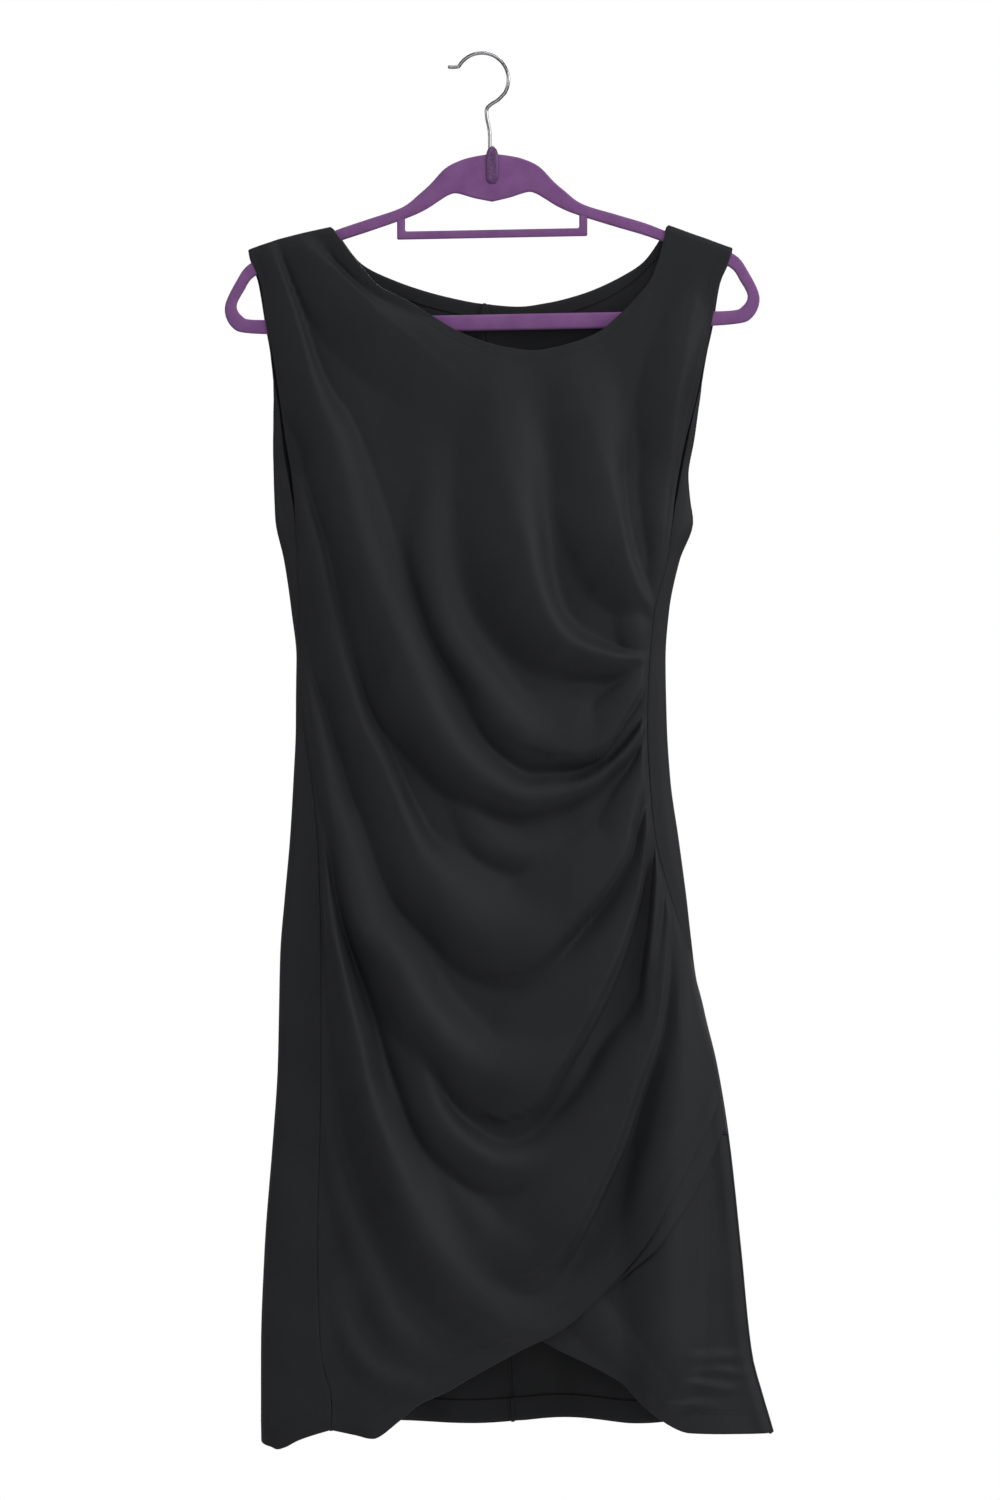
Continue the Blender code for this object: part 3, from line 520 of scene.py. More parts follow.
def curve(knots, values, at):
    """A smooth curve through the rows of a table, with the slopes of its neighbours, flat at turning
    points."""
    knots = np.asarray(knots, float)
    values = np.asarray(values, float)
    run = np.diff(knots)
    rise = np.diff(values) / run
    inner = np.where(rise[:-1] * rise[1:] > 0, 2 * rise[:-1] * rise[1:] / (rise[:-1] + rise[1:] + 1e-12), 0)
    slope = np.concatenate([[rise[0]], inner, [rise[-1]]])
    at = np.clip(np.asarray(at, float), knots[0], knots[-1])
    i = np.clip(np.searchsorted(knots, at, side="right") - 1, 0, len(run) - 1)
    t = (at - knots[i]) / run[i]
    start = values[i] * (1 + 2 * t) + slope[i] * run[i] * t
    end = values[i + 1] * (3 - 2 * t) + slope[i + 1] * run[i] * (t - 1)
    return start * (1 - t) ** 2 + end * t**2


def section(column, drop):
    """One column of SECTIONS at a level."""
    rows = [getattr(row, column) for row in SECTIONS]
    return curve([row.drop for row in SECTIONS], rows, drop)


def depth(column, drop):
    """The tube's added depth at a level, evened out over the levels near it."""
    around = np.linspace(-DEPTH_SOFTENING, DEPTH_SOFTENING, 5)
    return sum(section(column, drop + step) for step in around) / len(around)


def rounded(from_middle, drop):
    """The form's depth at a share of its half width, as a share of its depth in the middle: it hangs flat
    like a lens between the armholes and fills out to a tube below them."""
    lens = 1 - from_middle**2
    tube = (1 - from_middle**TUBE_POWER) ** (1 / TUBE_POWER)
    return lens + smooth_step(*FILLING_OUT, drop) * (tube - lens)


def outline(points, steps=12):
    """Points of a smooth outline through a few given points, which never swings past them."""
    knots = np.arange(len(points))
    at = np.linspace(0, len(points) - 1, steps * (len(points) - 1) + 1)
    ends = np.asarray(points, float)
    return np.column_stack([curve(knots, ends[:, 0], at), curve(knots, ends[:, 1], at)])


def along(line, share):
    """The points at the given shares of a line's length."""
    steps = np.hypot(*np.diff(line, axis=0).T)
    length = np.concatenate([[0], np.cumsum(steps)])
    at = np.asarray(share) * length[-1]
    return np.column_stack([np.interp(at, length, line[:, 0]), np.interp(at, length, line[:, 1])])


def shoulder_drop(x):
    """The shoulder seams' line over the hanger's arms, carried on straight to the neck's middle."""
    lines = []
    for rows, neck in ((LEFT_SHOULDER, LEFT_SHOULDER[-1]), (RIGHT_SHOULDER, RIGHT_SHOULDER[0])):
        end = rows[0] if neck is rows[-1] else rows[-1]
        slope = (end[1] - neck[1]) / (end[0] - neck[0])
        on_seam = curve([across for across, _ in rows], [drop for _, drop in rows], x)
        carried_on = neck[1] + slope * (x - neck[0])
        lines.append(np.where((x - neck[0]) * (end[0] - neck[0]) > 0, on_seam, carried_on))
    return np.maximum(*lines)


def shoulder(start, end):
    """The outline of a shoulder seam between two distances across."""
    x = np.linspace(start, end, 30)
    return np.column_stack([x, shoulder_drop(x)])


def roll(x, drop):
    """0 on the shoulder line and 1 once the cloth has turned over the arm."""
    below = np.clip((drop - shoulder_drop(x)) / SHOULDER_ROLL, 0, 1)
    return np.sqrt(1 - (1 - below) ** 2)


def share_down(row, column):
    """How far down a row lies, as a share of the height, at the left edge, the middle or the right edge."""
    drops = np.array([getattr(plan, column) for plan in ROWS], float)
    shares = (drops - drops[0]) / (drops[-1] - drops[0])
    lower = ROLL_ROWS[-1] + (1 - ROLL_ROWS[-1]) * curve([plan.number for plan in ROWS], shares, row)
    upper = np.interp(row, np.arange(1 - len(ROLL_ROWS), 1), ROLL_ROWS)
    return np.where(row < 0, upper, lower)
def row_numbers(parts):
    """The numbers of a panel's rows: those that turn over the shoulder, below 0, and then parts for each of
    ROWS."""
    rolling = np.linspace(1 - len(ROLL_ROWS), 0, ROLL_STEPS + 1)[:-1]
    return np.concatenate([rolling, np.linspace(0, ROWS[-1].number, ROWS[-1].number * parts + 1)])

def fallen(share, roundness):
    """The height left at a share of the way from a crest to its foot. The slope grows evenly at the crest,
    then stays, and eases off evenly at the foot."""
    growing = 0.3 + 0.7 * roundness
    easing = 0.38 - 0.36 * roundness
    steepest = 1 / (1 - growing / 2 - easing / 2)
    at_top = 1 - steepest * share**2 / (2 * growing)
    straight = 1 - steepest * (share - growing / 2)
    at_foot = steepest * (1 - share) ** 2 / (2 * easing)
    return np.where(share < growing, at_top, np.where(share < 1 - easing, straight, at_foot))


def fold_height(fold, x, drop):
    """How far one fold lifts the cloth at each point."""
    rows = [Crest(*row) for row in fold.crest]
    line = smooth_line([(row.x, row.drop) for row in rows], CREST_STEPS)
    furthest = max(max(row.inner, row.outer) for row in rows)
    low = line.min(axis=0) - furthest
    high = line.max(axis=0) + furthest
    near = (x > low[0]) & (x < high[0]) & (drop > low[1]) & (drop < high[1])
    at_x, at_drop = x[near], drop[near]
    nearest = np.full(at_x.shape, np.inf)
    side = np.zeros(at_x.shape)
    reached = []
    last = len(line) - 1
    for step in range(last):
        start = line[step]
        run = line[step + 1] - start
        past = ((at_x - start[0]) * run[0] + (at_drop - start[1]) * run[1]) / (run @ run)
        share = np.clip(past, 0, 1)
        away = np.hypot(at_x - start[0] - share * run[0], at_drop - start[1] - share * run[1])
        turn = run[0] * (at_drop - start[1]) - run[1] * (at_x - start[0])
        beyond = ((past < 0) & (step == 0)) | ((past > 1) & (step == last - 1))
        turned = np.where(beyond, turn / (np.hypot(*run) * np.maximum(away, 1e-6)), np.sign(turn))
        side = np.where(away < nearest, turned, side)
        nearest = np.minimum(away, nearest)
        reached.append((away, (step + share) / last))
    on_outer = smooth_step(-1, 1, side)  # one side or the other, and round an end of the crest all between
    # what the highest part of the crest leaves standing there, so that the two arms of a swag meet without
    # a step
    knots = np.linspace(0, 1, len(rows))
    highest = np.zeros(at_x.shape)
    for away, place in reached:
        inner = away / curve(knots, [row.inner for row in rows], place)
        outer = away / curve(knots, [row.outer for row in rows], place)
        left_over = (1 - on_outer) * fallen(np.clip(inner, 0, 1), fold.inner_round)
        left_over = left_over + on_outer * fallen(np.clip(outer, 0, 1), fold.outer_round)
        highest = np.maximum(highest, curve(knots, [row.height for row in rows], place) * left_over)
    lifted = np.zeros(x.shape)
    lifted[near] = highest
    return lifted


def fold_heights(folds, x, drop):
    """All folds together. Where two overlap the higher one shows, softly joined to the other."""
    return np.sqrt(sum(fold_height(fold, x, drop) ** 2 for fold in folds))


def normals_of(points, outward):
    """Unit normals of a grid of points, on its outer face."""
    normals = outward * np.cross(np.gradient(points, axis=0), np.gradient(points, axis=1))
    return normals / np.linalg.norm(normals, axis=-1, keepdims=True)


def lengths_along(points):
    """The length of cloth from a grid's first row to each of its points."""
    steps = np.linalg.norm(np.diff(points, axis=0), axis=-1)
    return np.vstack([np.zeros((1, points.shape[1])), np.cumsum(steps, axis=0)])


def at_length(points, lengths, reach):
    """The point of each column that lies reach along it from the first row."""
    found = np.empty(points.shape[1:])
    for column in range(points.shape[1]):
        for axis in range(3):
            found[column, axis] = np.interp(reach[column], lengths[:, column], points[:, column, axis])
    return found


def turned_in(points, normals, width):
    """A grid with cloth added before its first row: a flap of the given width behind it, and the fold
    between."""
    lengths = lengths_along(points)
    radius = TURN / 2
    away = points[0] - points[1]
    away /= np.linalg.norm(away, axis=-1, keepdims=True)
    points = points.copy()
    points[0] -= away * np.minimum(radius, FOLD_SHARE * lengths[1])[:, None]
    width = np.broadcast_to(width, points.shape[1])
    added = []
    for share, behind in FLAP:
        face = at_length(normals, lengths, width * share)
        added.append(at_length(points, lengths, width * share) - face * behind)
    for angle in np.radians(FOLD_ANGLES):
        behind = normals[0] * radius * (1 - math.cos(angle))
        added.append(points[0] - behind + away * radius * math.sin(angle))
    kept = np.repeat(normals[:1], len(added), axis=0)
    return np.concatenate([added, points]), np.concatenate([kept, normals])


def on_shoulder(line):
    """Whether each point of a line lies on a shoulder seam."""
    return np.abs(line[:, 2] + shoulder_drop(line[:, 0])) < ON_SHOULDER


def hemmed(points, normals, corner_rows, top=True):
    """A panel's points with all its edges turned in: the sides, less deeply within so many rows of their
    ends, the hem, and the top, less deeply on a shoulder than at the neck. Without top, that edge is left
    flat."""
    rows = np.arange(len(points))
    from_end = np.minimum(rows, rows[::-1]) if top else rows[::-1]
    side_turn = CORNER_TURN + (SEAM_TURN - CORNER_TURN) * smooth_step(0, corner_rows, from_end)
    ends = [(BACKWARD, np.full(points.shape[1], HEM_TURN))]
    if top:
        ends.insert(0, (FORWARD, np.where(on_shoulder(points[0]), SHOULDER_TURN, NECK_TURN)))
    grids = [np.swapaxes(grid, 0, 1) for grid in (points, normals)]
    for order in (FORWARD, BACKWARD):
        grids = [grid[order] for grid in turned_in(grids[0][order], grids[1][order], side_turn)]
    grids = [np.swapaxes(grid, 0, 1) for grid in grids]
    for order, width in ends:
        width = np.pad(width, len(FLAP) + len(FOLD_ANGLES), mode="edge")
        grids = [grid[order] for grid in turned_in(grids[0][order], grids[1][order], width)]
    return grids[0]


def panel(name, points, outward, finish):
    """A panel of cloth from the points of its outer face, with its UV map in metres of cloth."""
    down = lengths_along(points) * MM
    across = lengths_along(np.swapaxes(points, 0, 1)).T * MM
    across -= across[:, across.shape[1] // 2][:, None]
    made = formed(points, cloth_map=np.stack([across, -down], axis=-1))
    if outward < 0:
        bmesh.ops.reverse_faces(made, faces=made.faces)
    item = new_piece(name, made, finish)
    wall = item.modifiers.new("Thickness", "SOLIDIFY")
    wall.thickness = JERSEY * MM
    wall.offset = -1
    return item


def from_middle(x, drop):
    """How far x lies from the tube's middle, as a share of its half width."""
    left = section("left", drop)
    right = section("right", drop)
    return np.clip(np.abs((2 * x - left - right) / (right - left)), 0, 1)


def seam_angle(edge, drop):
    """The angle round the tube, from its nearer extreme, at which a front seam lies."""
    return np.arccos(from_middle(edge, drop) ** (TUBE_POWER / 2))


def back_hem(left, across):
    """The hem's drop at each column: along the front flap first, where there is one, and then along the
    back."""
    wrap = LEFT_WRAP if left else 0.0
    back = outline(BACK_HEM)
    side_x = back[0][0] if left else back[-1][0]
    middle_x = CENTRE_BACK[-1][0]
    past_wrap = np.clip((across - wrap) / (1 - wrap), 0, 1) ** BACK_CROWDING
    on_back = np.interp(side_x + (middle_x - side_x) * past_wrap, back[:, 0], back[:, 1])
    if not left:
        return on_back
    flap = outline(BACK_HEM_LEFT_FLAP)[::-1]
    flap_x = side_x + (flap[-1][0] - side_x) * np.clip((wrap - across) / wrap, 0, 1)
    return np.where(across < wrap, np.interp(flap_x, flap[:, 0], flap[:, 1]), on_back)


def back_points(side):
    """One half of the back, from the front side seam round the tube's extreme to the centre-back seam."""
    left = side == "left"
    sign = -1 if left else 1
    neck = outline(BACK_NECK)
    middle = np.argmin(np.abs(neck[:, 0] - CENTRE_BACK[0][0]))
    if left:
        top = np.vstack([shoulder(BACK_SHOULDER_END, neck[0][0]), neck[: middle + 1]])
    else:
        top = np.vstack([neck[middle:], shoulder(neck[-1][0], RIGHT_SHOULDER[-1][0])])[::-1]
    across = np.linspace(0, 1, BACK_COLUMNS + 1)
    start_x, start = along(top, across).T
    end = back_hem(left, across)
    down = share_down(row_numbers(BACK_ROW_PARTS), side)
    if not left:
        top_drop = RIGHT_SHOULDER[-1][1]
        drape_end = (DRAPE_END - top_drop) / (BACK_HEM[-1][1] - top_drop)
        lower = np.linspace(drape_end, 1, BACK_LOWER_ROWS * BACK_ROW_PARTS + 1)
        down = np.concatenate([down * drape_end, lower[1:]])
    u, v = np.meshgrid(across, down)
    drop = start + v * (end - start)
    seam = section(f"front_{side}", drop) - sign * SIDE_OVERLAP
    rolled = ARMHOLE_ROLLED * smooth_step(*ARMHOLE_ROLL, drop)
    wrap = -seam_angle(seam, drop) * (rolled + (1 - rolled) * smooth_step(*UNDERARM, drop))
    share_at_top = seam_angle(start_x, start) / (math.pi / 2)
    share = share_at_top + (u - share_at_top) * smooth_step(0, BACK_SETTLED, v)
    angle = wrap + share * (math.pi / 2 - wrap)
    low = section("left", drop)
    high = section("right", drop)
    spread = np.abs(np.cos(angle)) ** (2 / TUBE_POWER)
    x = (low + high) / 2 + sign * (high - low) / 2 * spread
    out = np.where(angle > 0, depth("back", drop), -depth("front", drop)) * rounded(spread, drop)
    sharpness, from_angle = UNDERARM_TURN
    out = out + depth("edge", drop) * EDGE_SHARE * np.tanh(angle / sharpness + from_angle)
    turn = roll(x, drop)
    y = out * turn
    (top_x, top_drop), (low_x, low_drop) = CENTRE_BACK
    seam_x = top_x + (drop - top_drop) * (low_x - top_x) / (low_drop - top_drop)
    x = np.where(u == 1, seam_x - sign * CENTRE_OVERLAP / 2, x)
    y = np.where(angle >= 0, np.maximum(y, 0) + SEAM_GAP / 2, y)
    points = np.stack([x, y, -drop], axis=-1)
    normals = normals_of(points, sign)
    from_side = smooth_step(0, BACK_FADES[0], u)
    from_seams = from_side * smooth_step(0, BACK_FADES[1], 1 - u)
    folds = fold_heights(BACK_FOLDS, x, drop) * smooth_step(*BACK_FOLDS_FROM, angle)
    lift = (BACK_PROUD * from_side + folds * from_seams) * turn
    return points + normals * lift[..., None], normals


# Viscose jersey: soft and nearly matt, with a faint rib of wales and a dull bloom where it is worn.
jersey, tree, shader = new_material("black_viscose_jersey", Roughness=0.55)
place = add_node(tree, "ShaderNodeUVMap", uv_map="cloth").outputs["UV"]
stitches = (1 / (STITCH_WIDTH * MM), 1 / (STITCH_HEIGHT * MM), 1)
wales = add_node(tree, "ShaderNodeMapping", Vector=place, Scale=stitches)
split = add_node(tree, "ShaderNodeSeparateXYZ", wales.outputs["Vector"])
# Each loop of the knit leans one way on the left of its wale and the other way on the right.
half_wale = add_node(tree, "ShaderNodeMath", split.outputs["X"], 0.5, operation="PINGPONG").outputs[0]
leaning = add_node(
    tree, "ShaderNodeMath", half_wale, STITCH_LEAN, split.outputs["Y"], operation="MULTIPLY_ADD",
).outputs[0]
waves = []
for source in (leaning, half_wale):
    turns = add_node(tree, "ShaderNodeMath", source, 2 * math.pi, operation="MULTIPLY").outputs[0]
    waves.append(add_node(tree, "ShaderNodeMath", turns, operation="SINE").outputs[0])
loops, ribs = waves
knit = add_node(tree, "ShaderNodeMath", loops, 0.35, ribs, operation="MULTIPLY_ADD").outputs[0]
wear = add_node(tree, "ShaderNodeTexNoise", Vector=place, Scale=1 / (JERSEY_PATCH * MM), Detail=4.0)
fluff = add_node(tree, "ShaderNodeTexNoise", Vector=place, Scale=1 / (JERSEY_FLUFF * MM), Detail=3.0)
uneven = add_node(
    tree, "ShaderNodeMix", data_type="FLOAT", Factor=0.35, A=wear.outputs["Fac"], B=fluff.outputs["Fac"],
).outputs["Result"]
tint = add_node(tree, "ShaderNodeValToRGB", uneven, stops=[(0.35, JERSEY_BLACK), (0.68, JERSEY_WORN)])
gloss = add_node(tree, "ShaderNodeMapRange", uneven, From_Min=0.35, From_Max=0.65, To_Min=0.53, To_Max=0.65)
surface = add_node(tree, "ShaderNodeBump", Height=knit, Strength=0.35, Distance=STITCH_RELIEF * MM)
feed(
    shader, Base_Color=tint.outputs["Color"], Roughness=gloss.outputs["Result"],
    Normal=surface.outputs["Normal"], Specular_IOR_Level=0.3, Sheen_Weight=0.08, Sheen_Roughness=0.4,
)

backs = {}
for side, outward in (("left", -1), ("right", 1)):
    backs[side] = back_points(side)
    half = panel(f"back_{side}_half", hemmed(*backs[side], BACK_CORNER_ROWS), outward, jersey)
    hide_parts(f"back_{side}")

# --- Under petal ------------------------------------------------------------------------------------------
# The front's lower layer, one panel of the same jersey caught in both side seams at the hip. It shows below
# the wrap edge, where its own curved edge crosses behind, and its hem has crept up in small creases.

UNDER_TOP = 700
UNDER_INSET = 6.4  # the petal lies this far inside the drape
UNDER_CLEAR = (886, 897)  # drops between which its right edge comes out to the silhouette
UNDER_EDGE = 14  # a layer behind the drape comes out to the silhouette within this distance of its seam
UNDER_FADES = (0.06, 0.03)  # shares of its width over which folds fade out toward its left and right seams
UNDER_COLUMNS = 110
UNDER_ROWS = 170
UNDER_CORNER_ROWS = 12
FRONT_SETTLED = 0.6  # share of a panel's height at which its columns have taken up the hem's spacing
SLOPE_STEP = 0.4  # over which the form's slope is measured, to find a point square behind it
UNDER_HEM = [
    (-130, 868), (-100, 910), (-60, 965), (0, 1028), (61, 1071), (90, 1085), (116, 1100), (131, 1116),
    (149, 1131), (173, 1142), (205, 1143), (241, 1143),
]
UNDER_FOLDS = [
    Fold("petal_slope", 0.5, 0.5, [
        (206, 960, 0, 14, 16), (216, 1030, 2.5, 16, 18), (224, 1100, 2, 14, 16), (230, 1140, 0, 12, 12)]),
    Fold("upper_crease", 0.5, 0.5, [
        (168, 1076, 0, 5, 7), (186, 1079, 1.6, 6, 9), (206, 1078, 2.2, 6, 9), (228, 1074, 0.6, 5, 7)]),
    Fold("middle_crease", 0.5, 0.5, [
        (176, 1090, 0, 5, 6), (196, 1089, 2.0, 5, 7), (216, 1092, 1.8, 5, 7), (236, 1088, 0.8, 5, 6)]),
    Fold("lower_crease", 0.5, 0.5, [
        (164, 1100, 0, 5, 6), (182, 1101, 1.8, 5, 7), (204, 1105, 1.4, 5, 7), (222, 1102, 0, 5, 6)]),
    Fold("hem_crease", 0.5, 0.5, [
        (146, 1116, 0, 4, 6), (162, 1119, 1.8, 5, 7), (182, 1118, 1.4, 5, 6), (200, 1122, 0, 4, 6)]),
    Fold("low_drag", 0.5, 0.5, [
        (20, 950, 0, 20, 20), (60, 1010, 3, 24, 22), (104, 1062, 4, 22, 20), (140, 1104, 2, 18, 16)]),
    Fold("hidden_drag", 0.5, 0.5, [
        (-90, 780, 0, 22, 22), (-50, 850, 4, 26, 24), (0, 920, 4, 28, 26), (60, 980, 2, 26, 24)]),
]

# What all the front's layers do together: they stand out over the right hip, and below it the petal does
# alone.
HIP = Fold("hip", 0.4, 0.3, [
    (166, 700, 0, 24, 20), (168, 740, 3, 26, 20), (166, 790, 6, 30, 26), (162, 840, 9, 34, 34),
    (157, 890, 12, 36, 38), (153, 950, 16, 36, 40), (152, 1010, 18, 36, 40), (152, 1060, 17, 35, 38),
    (151, 1095, 12, 34, 34), (148, 1122, 5, 28, 30)])
# Hollows that the laps hang over, where the layers below give way too: height is their depth, and inner the
# side of the lap.
HOLLOWS = [
    Fold("under_waist_edge", 0.5, 0.1, [
        (34, 772, 0, 10, 30), (56, 754, 3, 10, 36), (76, 733, 5, 10, 42), (98, 709, 6, 10, 44),
        (113, 687, 5.5, 9, 34), (124, 662, 4, 7, 16), (130, 636, 2.5, 5, 9), (137, 606, 0, 3, 5)]),
    Fold("under_hip_edge", 0.5, 0.1, [
        (32, 893, 0, 10, 30), (56, 871, 3, 10, 40), (66, 851, 5, 10, 46), (80, 829, 6, 10, 50),
        (96, 801, 6.5, 10, 50), (111, 770, 6, 10, 40), (121, 743, 4, 8, 22), (131, 707, 2, 6, 9),
        (138, 665, 0, 4, 5)]),
    Fold("under_low_edge", 0.5, 0.1, [
        (50, 1018, 0, 10, 20), (66, 1006, 3, 10, 28), (80, 987, 5, 10, 34), (94, 962, 6, 10, 36),
        (107, 934, 6.5, 10, 38), (119, 907, 6.5, 10, 36), (129, 879, 6, 10, 34), (138, 849, 5, 10, 28),
        (147, 820, 4, 8, 20), (153, 790, 2.5, 6, 12), (157, 750, 0, 5, 8)]),
]


def together(x, drop):
    """How far the front's layers stand out together."""
    return fold_height(HIP, x, drop) - sum(fold_height(hollow, x, drop) for hollow in HOLLOWS)


def front_left(drop):
    return section("front_left", drop)


def front_right(drop):
    return section("front_right", drop)


def front_y(x, drop):
    """The front's smooth form, before its folds."""
    bulge = rounded(from_middle(x, drop), drop)
    return -(depth("edge", drop) * EDGE_SHARE + depth("front", drop) * bulge) * roll(x, drop)


def behind_drape(x, drop, lift, inset, clear):
    """Points of a layer that lies inset behind the front's smooth form, square to it, and is lifted forward
    by its folds. Beside the right side seam it comes out to the silhouette between the drops in clear."""
    near_seam = 1 - smooth_step(0, 1, (front_right(drop) - x) / UNDER_EDGE)
    inset = inset * (1 - smooth_step(*clear, drop) * near_seam)
    step = SLOPE_STEP
    inner_x = np.minimum(x, section("right", drop) - step)
    slope_x = (front_y(inner_x, drop) - front_y(inner_x - step, drop)) / step
    slope_drop = (front_y(x, drop + step) - front_y(x, drop - step)) / (2 * step)
    size = np.sqrt(slope_x**2 + 1 + slope_drop**2)
    y = front_y(x, drop) + inset / size - lift - SEAM_GAP / 2
    return np.stack([x - inset * slope_x / size, y, inset * slope_drop / size - drop], axis=-1)


def between(top, bottom, u, v):
    """Points of a front panel between two outlines, as x and drop, with its sides along the front's
    seams."""
    start = along(top, u[0])
    end = along(bottom, u[0])
    drop = start[:, 1] + v * (end[:, 1] - start[:, 1])
    shares = []
    for edge in (start, end):
        low = front_left(edge[:, 1])
        share = (edge[:, 0] - low) / (front_right(edge[:, 1]) - low)
        shares.append((share - share[0]) / (share[-1] - share[0]))
    share_at_top, share_at_bottom = shares
    share = share_at_top + (share_at_bottom - share_at_top) * smooth_step(0, FRONT_SETTLED, v)
    return front_left(drop) + share * (front_right(drop) - front_left(drop)), drop


top = np.array([(front_left(UNDER_TOP), UNDER_TOP), (front_right(UNDER_TOP), UNDER_TOP)])
u, v = np.meshgrid(np.linspace(0, 1, UNDER_COLUMNS + 1), np.linspace(0, 1, UNDER_ROWS + 1))
x, drop = between(top, outline(UNDER_HEM), u, v)
lift = fold_heights(UNDER_FOLDS, x, drop) + together(x, drop)
lift = lift * smooth_step(0, UNDER_FADES[1], 1 - u) * smooth_step(0, UNDER_FADES[0], u)
petal_points = behind_drape(x, drop, lift, UNDER_INSET, UNDER_CLEAR)
petal_normals = normals_of(petal_points, 1)
petal = panel("under_petal", hemmed(petal_points, petal_normals, UNDER_CORNER_ROWS, top=False), 1, jersey)
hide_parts("front_underskirt")

# --- Wrap edge's facing -----------------------------------------------------------------------------------
# The strip that the drape's lower edge is faced with. On the right it has rolled out and shows below the
# edge.

FACING_INSET = 2.9
FACING_CLEAR = (856, 867)  # drops between which it comes out to the silhouette, within UNDER_EDGE of it
SEAM_FADE = 6  # folds are stitched flat over this distance at a side seam
FACING_RISE = 26  # how far the facing reaches up behind the hem
FACING_COLUMNS = 90
FACING_ROWS = 16
FACING_CROWDING = 0.8  # below 1 the columns stand closer together toward the side seam
FACING_SHOWS = [(60, -6), (117, 0), (145, 12), (163, 21), (181, 26), (204, 32)]  # x, how far below the hem
DRAPE_HEM = [
    (-125, 1139), (-105, 1143), (-90, 1146), (-68, 1131), (-51, 1117), (-31, 1108), (-7, 1094), (32, 1073),
    (66, 1056), (90, 1036), (117, 1008), (139, 979), (156, 949), (181, 905), (192, 882), (200, 864),
]

xs = [x for x, _ in FACING_SHOWS]
hem = outline(DRAPE_HEM)
hem_at = hem[np.argsort(hem[:, 0])]
even = np.linspace(0, 1, FACING_COLUMNS + 1)
u, v = np.meshgrid(even**FACING_CROWDING, np.linspace(0, 1, FACING_ROWS + 1))
x = xs[0] + u * (xs[-1] - xs[0])
hem_drop = np.interp(x, hem_at[:, 0], hem_at[:, 1])
shows = curve(xs, [shows for _, shows in FACING_SHOWS], x)
drop = hem_drop - FACING_RISE + v * (FACING_RISE + shows)
x = xs[0] + (x - xs[0]) * (front_right(drop) - xs[0]) / (xs[-1] - xs[0])
lift = together(x, drop) * smooth_step(0, SEAM_FADE, front_right(drop) - x)
facing = panel("wrap_edge_facing", behind_drape(x, drop, lift, FACING_INSET, FACING_CLEAR), 1, jersey)
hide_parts("drape_facing")

# --- Front drape ------------------------------------------------------------------------------------------
# One large panel of the jersey, pleated into the left shoulder and gathered into the right side seam, so
# that its fullness hangs between them in swags. Its lower edge crosses the petal as a wrap.

